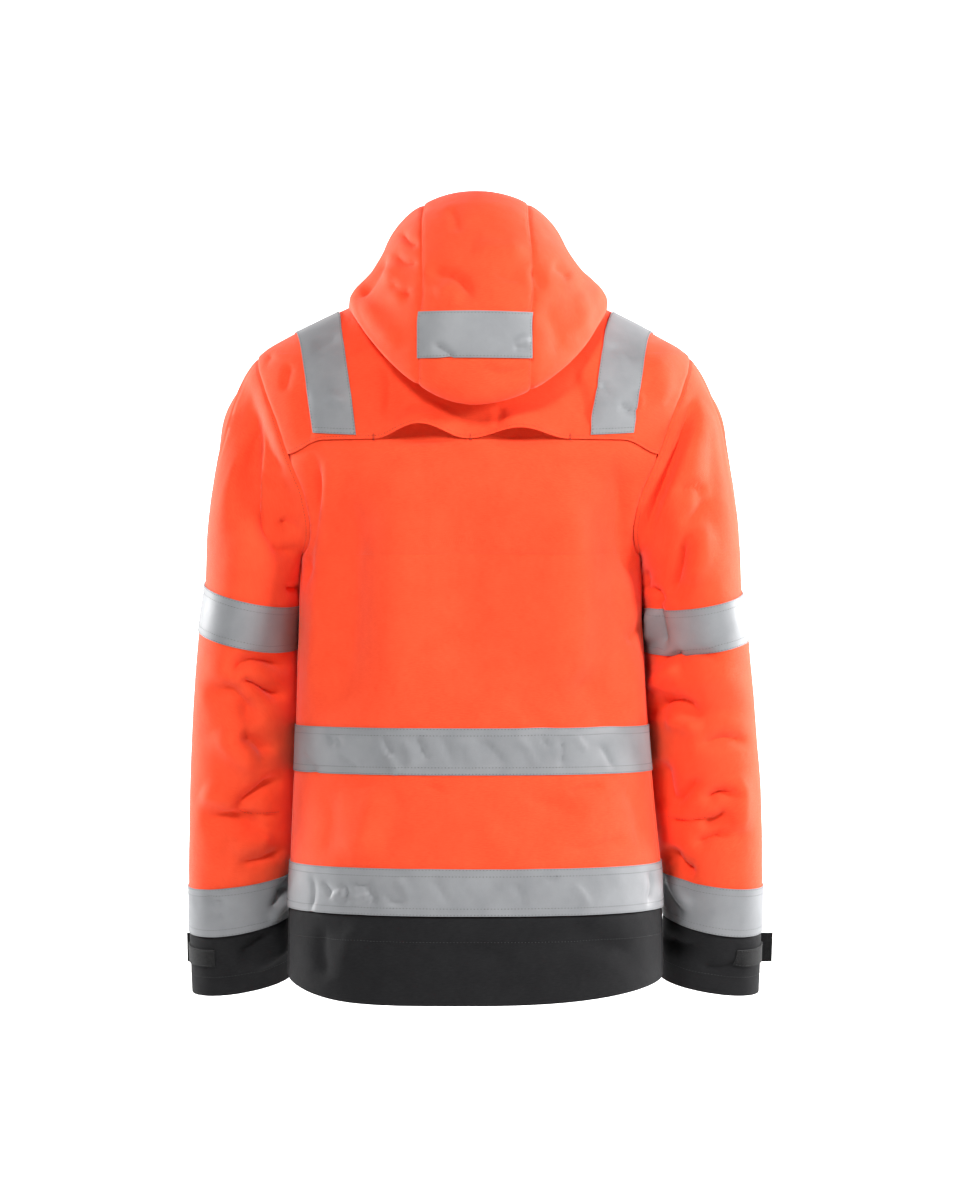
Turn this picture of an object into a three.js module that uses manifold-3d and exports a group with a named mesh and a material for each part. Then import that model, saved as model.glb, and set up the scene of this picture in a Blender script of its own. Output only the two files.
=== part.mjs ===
// A hooded hi-vis work jacket in its worn form, closed at the front, with no wearer inside.
// Millimetres, +Z up. The origin is the middle of the neck, where the shoulder line meets the collar.
// The front of the jacket faces -Y and the wearer's left is +X.
import * as THREE from "three";
import Module from "manifold-3d";
import { mergeVertices } from "three/addons/utils/BufferGeometryUtils.js";

// Driving sizes
const WALL = 1.6; // shell cloth, face fabric and membrane together
const SEAM = 0.4; // gap between two pieces at a seam
const TAPE_THICK = 1.0;
const TAPE_LIFT = 1.2; // clearance under a tape whose net is not the panel's own
const NEAR_LIFT = 0.3; // clearance under a piece made from the panel's own points
const HALF_SLEEVE_COLUMNS = 11;
const BACK_COLUMNS = 18;
const YOKE_COLUMNS = 26;
const FRONT_COLUMNS = 9;
const HOOD_CENTRE_COLUMNS = 4;
const HOOD_SIDE_COLUMNS = 8;

const finish = (name, color, roughness, metalness = 0) =>
  new THREE.MeshStandardMaterial({ name, color, roughness, metalness });
const CLOTH = {
  orange: finish("orange_cloth", 0xfe5b30, 0.8),
  black: finish("black_cloth", 0x2a2a2c, 0.85),
  tape: finish("reflective_tape", 0xa4a5a7, 0.45),
  loop: finish("hook_and_loop", 0x161616, 0.95),
  zip: finish("zip_plastic", 0x1c1c1d, 0.5),
  metal: finish("zip_metal", 0x3a3a3c, 0.35, 0.9),
};

// A table with named columns, read along its first column by a smooth curve that never overshoots.
function table(columns, rows) {
  return rows.map((row) => Object.fromEntries(columns.map((name, i) => [name, row[i]])));
}

function slopesOf(rows, key, name) {
  const steps = rows.slice(1).map((row, i) => (row[name] - rows[i][name]) / (row[key] - rows[i][key]));
  return rows.map((_, i) => {
    if (i === 0) return steps[0];
    if (i === rows.length - 1) return steps[i - 1];
    const [before, after] = [steps[i - 1], steps[i]];
    return before * after <= 0 ? 0 : (2 * before * after) / (before + after);
  });
}

function curveOf(rows, key) {
  const names = Object.keys(rows[0]).filter((name) => name !== key);
  const slopes = Object.fromEntries(names.map((name) => [name, slopesOf(rows, key, name)]));
  return (at) => {
    const x = THREE.MathUtils.clamp(at, rows[0][key], rows[rows.length - 1][key]);
    let i = 0;
    while (i < rows.length - 2 && x > rows[i + 1][key]) i += 1;
    const span = rows[i + 1][key] - rows[i][key];
    const t = (x - rows[i][key]) / span;
    const [t2, t3] = [t * t, t * t * t];
    const found = {};
    for (const name of names) {
      found[name] =
        (2 * t3 - 3 * t2 + 1) * rows[i][name] +
        (t3 - 2 * t2 + t) * span * slopes[name][i] +
        (3 * t2 - 2 * t3) * rows[i + 1][name] +
        (t3 - t2) * span * slopes[name][i + 1];
    }
    return found;
  };
}

const degrees = THREE.MathUtils.degToRad;
const smooth = THREE.MathUtils.smoothstep;
const mix = THREE.MathUtils.lerp;
const signedPower = (value, power) => Math.sign(value) * Math.abs(value) ** power;
const point = (x, y, z) => new THREE.Vector3(x, y, z);

// Level sections of the body: half width, reach to the back and to the front, and squareness of the outline.
const BODY_SECTIONS = table(
  ["z", "half", "back", "front", "square"],
  [
    [-800, 205, 131, 141, 2.3],
    [-683, 204, 134, 144, 2.3],
    [-600, 199, 132, 145, 2.3],
    [-510, 193, 127, 146, 2.3],
    [-400, 188, 129, 148, 2.3],
    [-300, 186, 134, 147, 2.3],
    [-240, 209, 136, 143, 2.3],
    [-198, 234, 134, 139, 2.3],
    [-160, 247, 128, 131, 2.27],
    [-130, 250, 122, 124, 2.25],
    [-106, 247, 114, 116, 2.22],
    [-86, 238, 106, 107, 2.2],
    [-75, 226, 100, 102, 2.18],
    [-64, 207, 94, 97, 2.16],
    [-53, 187, 88, 91, 2.15],
    [-42, 165, 82, 87, 2.14],
    [-20, 119, 70, 80, 2.12],
    [0, 78, 62, 76, 2.1],
    [10, 60, 55, 72, 2.1],
  ],
);
const bodyAt = curveOf(BODY_SECTIONS, "z");

// The largest folds of the body, as soft ridges (depth above 0) and troughs.
// Each runs from one point to the other as seen from the back or the front.
const BODY_FOLDS = table(
  ["side", "x1", "z1", "x2", "z2", "width", "depth"],
  [
    [1, 137, -235, 142, -470, 24, -4.0],
    [1, 92, -215, 94, -470, 26, 3.5],
    [1, 29, -225, 30, -470, 50, -2.5],
    [1, -92, -230, -96, -450, 34, 3.5],
    [1, -146, -230, -166, -400, 22, -3.5],
    [1, 150, -560, 130, -625, 28, 3.0],
    [1, 40, -560, 70, -625, 30, -2.5],
    [1, -90, -555, -40, -625, 30, -2.5],
    [-1, 105, -200, 120, -470, 32, -4.0],
    [-1, 60, -200, 66, -470, 34, 3.5],
    [-1, -70, -210, -76, -465, 34, 3.5],
    [-1, -118, -205, -126, -470, 30, -4.0],
    [-1, 110, -560, 95, -625, 28, 2.5],
    [-1, -80, -558, -98, -622, 28, -2.5],
  ],
);

// How far a fold lifts the cloth at a point of the seen plane.
// It is a bell across the fold, with a soft start and end along it.
const FOLD_ENDS = { start: -0.12, full: 0.3, fading: 0.7, end: 1.12 }; // shares of its length
function foldLift(fold, x, z) {
  const [dx, dz] = [fold.x2 - fold.x1, fold.z2 - fold.z1];
  const length = Math.hypot(dx, dz);
  const along = ((x - fold.x1) * dx + (z - fold.z1) * dz) / (length * length);
  const across = ((x - fold.x1) * dz - (z - fold.z1) * dx) / length;
  const starting = smooth(along, FOLD_ENDS.start, FOLD_ENDS.full);
  const ends = starting * (1 - smooth(along, FOLD_ENDS.fading, FOLD_ENDS.end));
  return fold.depth * ends * Math.exp(-((across / fold.width) ** 2));
}

function ringPoint(angle, z) {
  const section = bodyAt(z);
  const power = 2 / section.square;
  const [across, deep] = [signedPower(Math.cos(angle), power), signedPower(Math.sin(angle), power)];
  return point(section.half * across, (deep >= 0 ? section.back : section.front) * deep, z);
}

// The body's surface at an angle round it, from 0 at the left side to 90 degrees at the middle of the back.
// A surface that faces sideways has no fold.
const BODY_FOLD_FACING = { none: 0.15, full: 0.6 };
function body(angle, z) {
  const spot = ringPoint(angle, z);
  const facing = Math.sin(angle);
  const lift = BODY_FOLDS.filter((fold) => fold.side * facing > 0)
    .map((fold) => foldLift(fold, spot.x, z))
    .reduce((sum, each) => sum + each, 0);
  const outward = point(Math.cos(angle), Math.sin(angle), 0);
  const felt = smooth(Math.abs(facing), BODY_FOLD_FACING.none, BODY_FOLD_FACING.full);
  return spot.addScaledVector(outward, lift * felt);
}

// The unit normal of a surface of two coordinates, on the side that `turn` picks.
function normalOf(surface, u, v, stepU, stepV, turn = 1) {
  const alongU = surface(u + stepU, v).sub(surface(u - stepU, v));
  const alongV = surface(u, v + stepV).sub(surface(u, v - stepV));
  return alongU.cross(alongV).normalize().multiplyScalar(turn);
}
const ANGLE_STEP = 0.004; // steps of the slopes that give a normal
const HEIGHT_STEP = 0.5;
const bodyNormal = (angle, z) => normalOf(body, angle, z, ANGLE_STEP, HEIGHT_STEP);

// The angle at which the level section at z has a given x near the middle of the front or of the back.
function angleAtX(x, z, facing) {
  const section = bodyAt(z);
  return facing * Math.acos(signedPower(x / section.half, section.square / 2));
}

function insideBody(x, y, z) {
  const section = bodyAt(z);
  const reach = y >= 0 ? section.back : section.front;
  return Math.abs(x / section.half) ** section.square + Math.abs(y / reach) ** section.square < 1;
}

// The last place from low to high that is still inside, found by halving
const HALVINGS = 40;
function lastInside(inside, from, to) {
  let [low, high] = [from, to];
  for (let i = 0; i < HALVINGS; i += 1) {
    const middle = (low + high) / 2;
    if (inside(middle)) low = middle;
    else high = middle;
  }
  return low;
}

// The height of the body's top surface over a point of the plan, or -Infinity outside it.
const SHOULDER_Z = { widest: -130, top: 10 };
function topOfBody(x, y) {
  const inside = (z) => insideBody(x, y, z);
  return inside(SHOULDER_Z.widest) ? lastInside(inside, SHOULDER_Z.widest, SHOULDER_Z.top) : -Infinity;
}

// The armhole is an egg in the side view, with its lowest point at the side seam.
const ARMHOLE = { middleZ: -191, halfHeight: 109, topY: 2, bottomY: 24, back: 69, front: 87 };
const TIP_Z = ARMHOLE.middleZ + ARMHOLE.halfHeight;
const UNDERARM_Z = ARMHOLE.middleZ - ARMHOLE.halfHeight;

// turn is 0 at the shoulder, 90 degrees at the back, 180 at the underarm and 270 at the front.
function armholeYZ(turn) {
  const reach = Math.sin(turn) >= 0 ? ARMHOLE.back : ARMHOLE.front;
  const leaning = mix(ARMHOLE.topY, ARMHOLE.bottomY, (1 - Math.cos(turn)) / 2);
  return { y: leaning + reach * Math.sin(turn), z: ARMHOLE.middleZ + ARMHOLE.halfHeight * Math.cos(turn) };
}

function angleAtY(y, z) {
  const section = bodyAt(z);
  const reach = y >= 0 ? section.back : section.front;
  return Math.asin(signedPower(y / reach, section.square / 2));
}

function armholeAngle(turn) {
  const { y, z } = armholeYZ(turn);
  return angleAtY(y, z);
}
const SIDE_SEAM = armholeAngle(Math.PI);

// The shoulder seam runs from the tip of the shoulder to a point of the neck in front of the shoulder line.
const SHOULDER_SEAM_AT_NECK = degrees(-11.7);
const shoulderSeam = (z) => mix(armholeAngle(0), SHOULDER_SEAM_AT_NECK, (z - TIP_Z) / (0 - TIP_Z));

// The edge of a panel at the left side, for a row named by its height at that edge.
function edgeAngle(z, facing) {
  if (z <= UNDERARM_Z) return SIDE_SEAM;
  if (z >= TIP_Z) return shoulderSeam(z);
  const turn = Math.acos((z - ARMHOLE.middleZ) / ARMHOLE.halfHeight);
  return armholeAngle(facing > 0 ? turn : 2 * Math.PI - turn);
}

// Rows keep their height at the panel's edge. In the middle they rise to the yoke seam and dip to the neck.
const YOKE_EDGE_Z = ARMHOLE.middleZ;
const YOKE_RISE = 14;
const YOKE_SLANT = { from: 0.62, to: 0.82 }; // where, from the middle to the side, the seam comes down
const NECK_DIP = { back: 10, front: 60, backPower: 6, frontPower: 10, from: -112 };
function rowHeight(z, angle) {
  const [across, deep] = [Math.abs(Math.cos(angle)), Math.sin(angle)];
  const near = smooth(z, UNDERARM_Z, YOKE_EDGE_Z) * (1 - smooth(z, YOKE_EDGE_Z, TIP_Z));
  const rise = deep > 0 ? YOKE_RISE * near * (1 - smooth(across, YOKE_SLANT.from, YOKE_SLANT.to)) : 0;
  const backDip = NECK_DIP.back * Math.max(deep, 0) ** NECK_DIP.backPower;
  const frontDip = NECK_DIP.front * Math.max(-deep, 0) ** NECK_DIP.frontPower;
  const dip = backDip + frontDip;
  return z + rise - dip * smooth(z, NECK_DIP.from, 0);
}

// Heights of the bands and seams that run round the body
const BAND = { wide: 50, waistTop: -484, lowTop: -633 };
const HEM_SEAM_Z = BAND.lowTop - BAND.wide;
const HEM = { back: -778, side: -757, front: -747, leftDrop: 5, power: 1.3 };
function hemHeight(angle) {
  const deep = Math.sin(angle);
  const drop = deep > 0 ? HEM.leftDrop * Math.max(0, Math.sin(2 * angle)) ** 2 : 0;
  return mix(HEM.side, deep > 0 ? HEM.back : HEM.front, Math.abs(deep) ** HEM.power) - drop;
}

const ARMHOLE_ROWS = Array.from({ length: HALF_SLEEVE_COLUMNS + 1 }, (_, i) => {
  const turn = Math.PI * (1 - i / HALF_SLEEVE_COLUMNS);
  return armholeYZ(turn).z;
});
const BAND_MIDDLE = BAND.wide / 2;
const LOWER_ROWS = [
  BAND.lowTop - BAND_MIDDLE,
  BAND.lowTop,
  -600,
  -567,
  BAND.waistTop - BAND.wide,
  BAND.waistTop - BAND_MIDDLE,
  BAND.waistTop,
  -440,
  -395,
  -350,
  -322,
];
const SHOULDER_ROWS = [-64, -46, -29, -14, 0];

// A closed wall between two nets of points with the same rows and columns, as one mesh.
function wallMesh(name, material, inner, outer, closed) {
  const [rows, columns] = [inner.length, inner[0].length];
  const spots = [...inner.flat(), ...outer.flat()];
  const at = (layer, r, c) => layer * rows * columns + r * columns + (c % columns);
  const faces = [];
  const quad = (a, b, c, d) => faces.push(a, b, c, a, c, d);
  const spans = closed ? columns : columns - 1;
  for (let r = 0; r < rows - 1; r += 1) {
    for (let c = 0; c < spans; c += 1) {
      quad(at(1, r, c), at(1, r, c + 1), at(1, r + 1, c + 1), at(1, r + 1, c));
      quad(at(0, r, c), at(0, r + 1, c), at(0, r + 1, c + 1), at(0, r, c + 1));
    }
  }
  for (let c = 0; c < spans; c += 1) {
    quad(at(0, 0, c), at(0, 0, c + 1), at(1, 0, c + 1), at(1, 0, c));
    quad(at(0, rows - 1, c + 1), at(0, rows - 1, c), at(1, rows - 1, c), at(1, rows - 1, c + 1));
  }
  if (!closed) {
    const last = columns - 1;
    for (let r = 0; r < rows - 1; r += 1) {
      quad(at(0, r + 1, 0), at(0, r, 0), at(1, r, 0), at(1, r + 1, 0));
      quad(at(0, r, last), at(0, r + 1, last), at(1, r + 1, last), at(1, r, last));
    }
  }
  const geometry = new THREE.BufferGeometry();
  const places = spots.flatMap((p) => [p.x, p.y, p.z]);
  geometry.setAttribute("position", new THREE.Float32BufferAttribute(places, 3));
  geometry.setIndex(volumeOf(spots, faces) > 0 ? faces : faces.toReversed());
  geometry.computeVertexNormals();
  const mesh = new THREE.Mesh(geometry, material);
  mesh.name = name;
  return mesh;
}

function volumeOf(spots, faces) {
  let sum = 0;
  for (let i = 0; i < faces.length; i += 3) {
    const [a, b, c] = [spots[faces[i]], spots[faces[i + 1]], spots[faces[i + 2]]];
    sum += a.dot(b.clone().cross(c)) / 6;
  }
  return sum;
}

// The jacket hangs a little to the wearer's left, the body more than the sleeves.
const SWAY = table(
  ["z", "all", "body"],
  [
    [-800, 1.7, 0],
    [-656, 1.7, 0],
    [-560, 1.8, 2.2],
    [-458, 3.2, 2.8],
    [-348, 3.7, 3.3],
    [-230, 3.7, 0.8],
    [-150, 3.7, 0],
    [-60, 3.7, 0],
    [-20, 0, 0],
    [120, 0, 0],
  ],
);
const swayAt = curveOf(SWAY, "z");
const BODY_TO_SLEEVE = { from: 190, to: 250 }; // distances from the middle
function swayed(spot) {
  const { all, body: more } = swayAt(spot.z);
  const onBody = 1 - smooth(Math.abs(spot.x), BODY_TO_SLEEVE.from, BODY_TO_SLEEVE.to);
  return spot.setX(spot.x + all + more * onBody);
}

// A wall from a net of places.
// Each gives a point of the surface, the normal there and how far the wall is moved out.
function wallFrom(name, material, net, from, to, closed = false) {
  const moved = (p, out) => swayed(p.spot.clone().addScaledVector(p.normal, out + (p.shift ?? 0)));
  const layer = (out) => net.map((row) => row.map((p) => moved(p, out)));
  return wallMesh(name, material, layer(from), layer(to), closed);
}

const mirrorNet = (net) =>
  net.map((row) =>
    row.map((p) => ({
      ...p,
      spot: point(-p.spot.x, p.spot.y, p.spot.z),
      normal: point(-p.normal.x, p.normal.y, p.normal.z),
    })),
  );

const bodyPlace = (angle, z) => ({ spot: body(angle, z), normal: bodyNormal(angle, z) });
const seamAngle = (z) => SEAM / 2 / bodyAt(z).half;

// The net of a panel of the back, from the left edge to the right one.
// A row is named by its height at the edge.
function backNet(rows, columns = BACK_COLUMNS) {
  return rows.map(({ z, heightOf, shift }) => {
    const edge = edgeAngle(z, 1) + seamAngle(z);
    return Array.from({ length: columns + 1 }, (_, c) => {
      const angle = mix(edge, Math.PI - edge, c / columns);
      const place = bodyPlace(angle, heightOf ? heightOf(angle) : rowHeight(z, angle));
      return { ...place, shift: shift ? shift(place.spot) : 0 };
    });
  });
}

// The net of the left front, from the side or armhole to the zip.
const ZIP_HALF = 6;
function frontNet(rows) {
  return rows.map(({ z, heightOf }) => {
    const edge = edgeAngle(z, -1) - seamAngle(z);
    return Array.from({ length: FRONT_COLUMNS + 1 }, (_, c) => {
      const share = c / FRONT_COLUMNS;
      const guess = heightOf ? heightOf(-Math.PI / 2) : rowHeight(z, -Math.PI / 2);
      const angle = mix(edge, angleAtX(ZIP_HALF, guess, -1), share);
      return bodyPlace(angle, heightOf ? heightOf(angle) : rowHeight(z, angle));
    });
  });
}

const rowsAt = (heights) => heights.map((z) => ({ z }));
const levelRows = (heights) => heights.map((z) => ({ z, heightOf: () => z }));

// The yoke's lower edge stands away from the back in two vents, between three bar tacks.
const VENTS = table(
  ["from", "to", "rise", "bulge"],
  [
    [4, 105, 13, 9],
    [-102, 4, 9, 7],
  ],
);
const VENT_HEIGHT = 46; // how far up the yoke a vent is felt
function ventShare(x) {
  const vent = VENTS.find((each) => x > each.from && x < each.to);
  if (!vent) return { rise: 0, bulge: 0 };
  const bell = Math.sin((Math.PI * (x - vent.from)) / (vent.to - vent.from)) ** 2;
  return { rise: vent.rise * bell, bulge: vent.bulge * bell };
}

const UNDER_YOKE = 32; // the back runs on behind the yoke by this much
const UNDER_SHIFT = -(WALL + 0.7);
const ROW_APART = { seam: 1, vented: 30 }; // rows nearer than this to an edge's own rows are left out
function backPanel() {
  const lower = levelRows([HEM_SEAM_Z + SEAM / 2, ...LOWER_ROWS, UNDERARM_Z]);
  const upper = rowsAt(ARMHOLE_ROWS.filter((z) => z > UNDERARM_Z && z < YOKE_EDGE_Z - ROW_APART.seam));
  const hidden = [-4, 14, UNDER_YOKE].map((up) => ({ z: YOKE_EDGE_Z + up, shift: () => UNDER_SHIFT }));
  return wallFrom("back_panel", CLOTH.orange, backNet([...lower, ...upper, ...hidden]), 0, WALL);
}

function backYoke() {
  const vented = [0, 10, 24].map((up) => ({
    z: YOKE_EDGE_Z + up,
    heightOf: (angle) => {
      const level = rowHeight(YOKE_EDGE_Z + up, angle);
      return level + ventShare(body(angle, level).x).rise * (1 - smooth(up, 0, VENT_HEIGHT));
    },
    shift: (spot) => ventShare(spot.x).bulge * (1 - smooth(up, 0, VENT_HEIGHT)),
  }));
  const [low, high] = [YOKE_EDGE_Z + ROW_APART.vented, TIP_Z - ROW_APART.seam];
  const armhole = ARMHOLE_ROWS.filter((z) => z > low && z < high);
  const upper = rowsAt([...armhole, TIP_Z, ...SHOULDER_ROWS]);
  return wallFrom("back_yoke", CLOTH.orange, backNet([...vented, ...upper], YOKE_COLUMNS), 0, WALL);
}

const FRONT_ROWS = [...LOWER_ROWS, ...ARMHOLE_ROWS, ...SHOULDER_ROWS];
const bothFronts = (name, material, net, from, to) => [
  wallFrom(`${name}_left`, material, net, from, to),
  wallFrom(`${name}_right`, material, mirrorNet(net), from, to),
];

function fronts() {
  const net = frontNet([...levelRows([HEM_SEAM_Z + SEAM / 2]), ...rowsAt(FRONT_ROWS)]);
  return bothFronts("front", CLOTH.orange, net, 0, WALL);
}

// The black hem: level at the seam and cut to the hem's curve below.
function hems() {
  const rows = [1, 0.66, 0.33, 0].map((share) => ({
    z: HEM_SEAM_Z,
    heightOf: (angle) => mix(HEM_SEAM_Z - SEAM / 2, hemHeight(angle), share),
  }));
  return [
    wallFrom("back_hem", CLOTH.black, backNet(rows), 0, WALL),
    ...bothFronts("front_hem", CLOTH.black, frontNet(rows), 0, WALL),
  ];
}

// Reflective bands round the body, on the panels' own rows
function bodyBands() {
  return [
    ["waist", BAND.waistTop, BAND.waistTop - BAND.wide],
    ["low", BAND.lowTop, HEM_SEAM_Z + SEAM / 2],
  ].flatMap(([name, top, bottom]) => {
    const rows = levelRows([bottom, top - BAND_MIDDLE, top]);
    const [from, to] = [WALL + NEAR_LIFT, WALL + NEAR_LIFT + TAPE_THICK];
    return [
      wallFrom(`${name}_band_back`, CLOTH.tape, backNet(rows), from, to),
      ...bothFronts(`${name}_band`, CLOTH.tape, frontNet(rows), from, to),
    ];
  });
}

// The shoulder tapes run over the shoulder, from the yoke seam at the back to the same height at the front.
const STRAP = { steps: 24, across: 2, backInner: 124, backOuter: 170, topInner: 151, topOuter: 196 };
const STRAP_RAYS = { back: degrees(101), front: degrees(-111), step: 0.01, acrossStep: 0.02 };
const STRAP_CORE_Z = -150; // rays from this height of the middle plane find the surface
const RAY_REACH = 220;
function onBodyFrom(x, ray) {
  const [outY, outZ] = [Math.sin(ray), Math.cos(ray)];
  const heightAt = (reach) => STRAP_CORE_Z + reach * outZ;
  const inside = (reach) => heightAt(reach) < SHOULDER_Z.top && insideBody(x, reach * outY, heightAt(reach));
  const reach = lastInside(inside, 0, RAY_REACH);
  return body(angleAtY(reach * outY, heightAt(reach)), heightAt(reach));
}

function strapNet() {
  const surface = (ray, across) => {
    const share = Math.min(1, Math.abs(ray) / STRAP_RAYS.back);
    const inner = mix(STRAP.topInner, STRAP.backInner, share);
    const outer = mix(STRAP.topOuter, STRAP.backOuter, share);
    return onBodyFrom(mix(inner, outer, across), ray);
  };
  return Array.from({ length: STRAP.steps + 1 }, (_, r) => {
    const ray = mix(STRAP_RAYS.back, STRAP_RAYS.front, r / STRAP.steps);
    return Array.from({ length: STRAP.across + 1 }, (_, c) => {
      const across = c / STRAP.across;
      const normal = normalOf(surface, ray, across, STRAP_RAYS.step, STRAP_RAYS.acrossStep, -1);
      return { spot: surface(ray, across), normal };
    });
  });
}

function shoulderTapes() {
  const [from, to] = [WALL + TAPE_LIFT, WALL + TAPE_LIFT + TAPE_THICK];
  const net = strapNet();
  return [
    wallFrom("shoulder_tape_left", CLOTH.tape, net, from, to),
    wallFrom("shoulder_tape_right", CLOTH.tape, mirrorNet(net), from, to),
  ];
}

// The collar stands on the neckline, from one side of the zip round the back to the other.
const COLLAR = { half: 71, back: 53, front: 80, backZ: 58, sideZ: 48, frontZ: 12, rows: 3 };
const necklineHeight = (angle) => rowHeight(0, angle);
const FRONT_NECK = angleAtX(ZIP_HALF, necklineHeight(-Math.PI / 2), -1);
const FRONT_TOP = -Math.acos(ZIP_HALF / COLLAR.half);
function collarTop(angle) {
  const deep = Math.sin(angle);
  const [reach, height] = deep > 0 ? [COLLAR.back, COLLAR.backZ] : [COLLAR.front, COLLAR.frontZ];
  return point(COLLAR.half * Math.cos(angle), reach * deep, mix(COLLAR.sideZ, height, Math.abs(deep)));
}

// A point of the collar: its base is on the neckline, and both front edges stand at the zip.
function collarPoint(angle, share) {
  const height = necklineHeight(angle);
  const base = body(angle, height);
  const inHole = point(0, 0, 1).projectOnPlane(bodyNormal(angle, height)).normalize();
  const middle = Math.PI / 2;
  const turned = ((angle - middle) * (FRONT_TOP - middle)) / (FRONT_NECK - middle) + middle;
  return base.addScaledVector(inHole, SEAM).lerp(collarTop(turned), share);
}

// The collar's columns are those of the panels that it is sewn to.
function collarAngles() {
  const edge = SHOULDER_SEAM_AT_NECK;
  const left = Array.from({ length: FRONT_COLUMNS }, (_, c) => mix(FRONT_NECK, edge, c / FRONT_COLUMNS));
  const steps = YOKE_COLUMNS / 2;
  const back = Array.from({ length: steps + 1 }, (_, c) => mix(edge, Math.PI - edge, c / steps));
  return [...left, ...back, ...left.map((angle) => Math.PI - angle).reverse()];
}
const SHARE_STEP = 0.02;
function collarNet() {
  const normalAt = (angle, share) =>
    share === 0
      ? bodyNormal(angle, necklineHeight(angle))
      : normalOf(collarPoint, angle, share, ANGLE_STEP, SHARE_STEP);
  return Array.from({ length: COLLAR.rows + 1 }, (_, r) => {
    const share = r / COLLAR.rows;
    return collarAngles().map((angle) => ({
      spot: collarPoint(angle, share),
      normal: normalAt(angle, share),
    }));
  });
}
const collar = () => wallFrom("collar", CLOTH.orange, collarNet(), 0, WALL);

// Sleeve sections below the armhole: middle, half width and half depth, and how the section tilts and turns.
const SLEEVE_SECTIONS = table(
  ["s", "z", "x", "halfX", "y", "halfY", "tiltX", "tiltY", "twist"],
  [
    [1, -312, 241.25, 48.75, -2, 80, 0.42, -0.05, 0.1],
    [2, -343, 242.4, 49.6, -8, 78, 0.21, -0.12, 0.12],
    [3, -393, 246.3, 52.8, -16, 75, 0.19, -0.12, 0.15],
    [4, -470, 250.3, 56.7, -26, 69, 0.08, -0.06, 0.15],
    [5, -560, 256.3, 57.9, -38, 61, 0, -0.04, 0.12],
    [6, -657, 261.6, 56.2, -52, 52, -0.13, -0.13, 0.08],
    [7, -706, 262.8, 55.3, -60, 47, -0.17, -0.24, 0.05],
    [8, -777, 262.5, 54, -72, 42, -0.15, -0.18, 0.05],
  ],
);
// The right forearm hangs this much clear of the body, between these steps of the table.
const RIGHT_SLEEVE_AWAY = { by: 3.5, from: 4.6, full: 6, fading: 7, end: 8 };
// Each upper sleeve hangs a little higher or lower, and tilts, to the left or the right.
const LEAN = { tilt: 0.035, rise: 3, from: 3, to: 6 };
const sleeveAt = curveOf(SLEEVE_SECTIONS, "s");
const SLEEVE_FOLDS = table(
  ["side", "x1", "z1", "x2", "z2", "width", "depth"],
  [
    [1, 250, -110, 215, -330, 17, 4.5],
    [1, 240, -130, 262, -300, 14, -4.5],
    [1, 215, -445, 285, -425, 13, 4.0],
    [1, 225, -478, 300, -462, 12, -4.0],
    [1, 262, -500, 215, -545, 14, 3.5],
    [1, 225, -590, 300, -605, 14, -3.5],
    [-1, 300, -420, 215, -455, 15, -4.0],
    [-1, 305, -470, 220, -500, 14, 4.0],
    [-1, 225, -560, 300, -590, 15, -3.5],
    [-1, 245, -120, 225, -300, 20, -4.5],
  ],
);

function sleeveSection(turn, s, lean) {
  const row = sleeveAt(s);
  const { by, from, full, fading, end } = RIGHT_SLEEVE_AWAY;
  const away = lean < 0 ? by * smooth(s, from, full) * (1 - smooth(s, fading, end)) : 0;
  const [across, deep] = [(row.halfX - away / 2) * Math.cos(turn), row.halfY * Math.sin(turn)];
  const upper = lean * (1 - smooth(s, LEAN.from, LEAN.to));
  const tiltX = row.tiltX + LEAN.tilt * upper;
  const z = row.z + LEAN.rise * upper + tiltX * across + row.tiltY * deep;
  return point(row.x + away / 2 + across + row.twist * deep, row.y + deep, z);
}

function armholePoint(turn) {
  const { y, z } = armholeYZ(turn);
  return body(angleAtY(y, z), z);
}
const armholeNormal = (turn) => bodyNormal(armholeAngle(turn), armholeYZ(turn).z);

// The direction along the body's surface that leads into the armhole, square to its edge.
const TURN_STEP = 0.02;
function intoArmhole(turn) {
  const { y, z } = armholeYZ(turn);
  const along = armholePoint(turn + TURN_STEP).sub(armholePoint(turn - TURN_STEP));
  const across = along.cross(armholeNormal(turn)).normalize();
  const toMiddle = point(0, -y, ARMHOLE.middleZ - z);
  return across.dot(toMiddle) < 0 ? across.negate() : across;
}

// The cap is a cubic curve from the armhole to the first free section.
// Its shape comes from how far its two handles reach, as shares of the distance between its ends.
const CAP = { into: 0.23, outUnderarm: 0.12, up: 0.33, slopeAt: 1.1 };
function capPoint(turn, s, lean) {
  const [start, end] = [armholePoint(turn), sleeveSection(turn, 1, lean)];
  const reach = start.distanceTo(end);
  const into = intoArmhole(turn);
  const first = start.addScaledVector(into, SEAM);
  const out = (reach * CAP.outUnderarm * (1 - Math.cos(turn))) / 2;
  const second = first.clone().addScaledVector(into, reach * CAP.into);
  second.addScaledVector(armholeNormal(turn), out);
  const down = sleeveSection(turn, CAP.slopeAt, lean).sub(end).normalize();
  const third = end.clone().addScaledVector(down, -reach * CAP.up);
  return new THREE.CubicBezierCurve3(first, second, third, end).getPoint(s);
}

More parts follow.
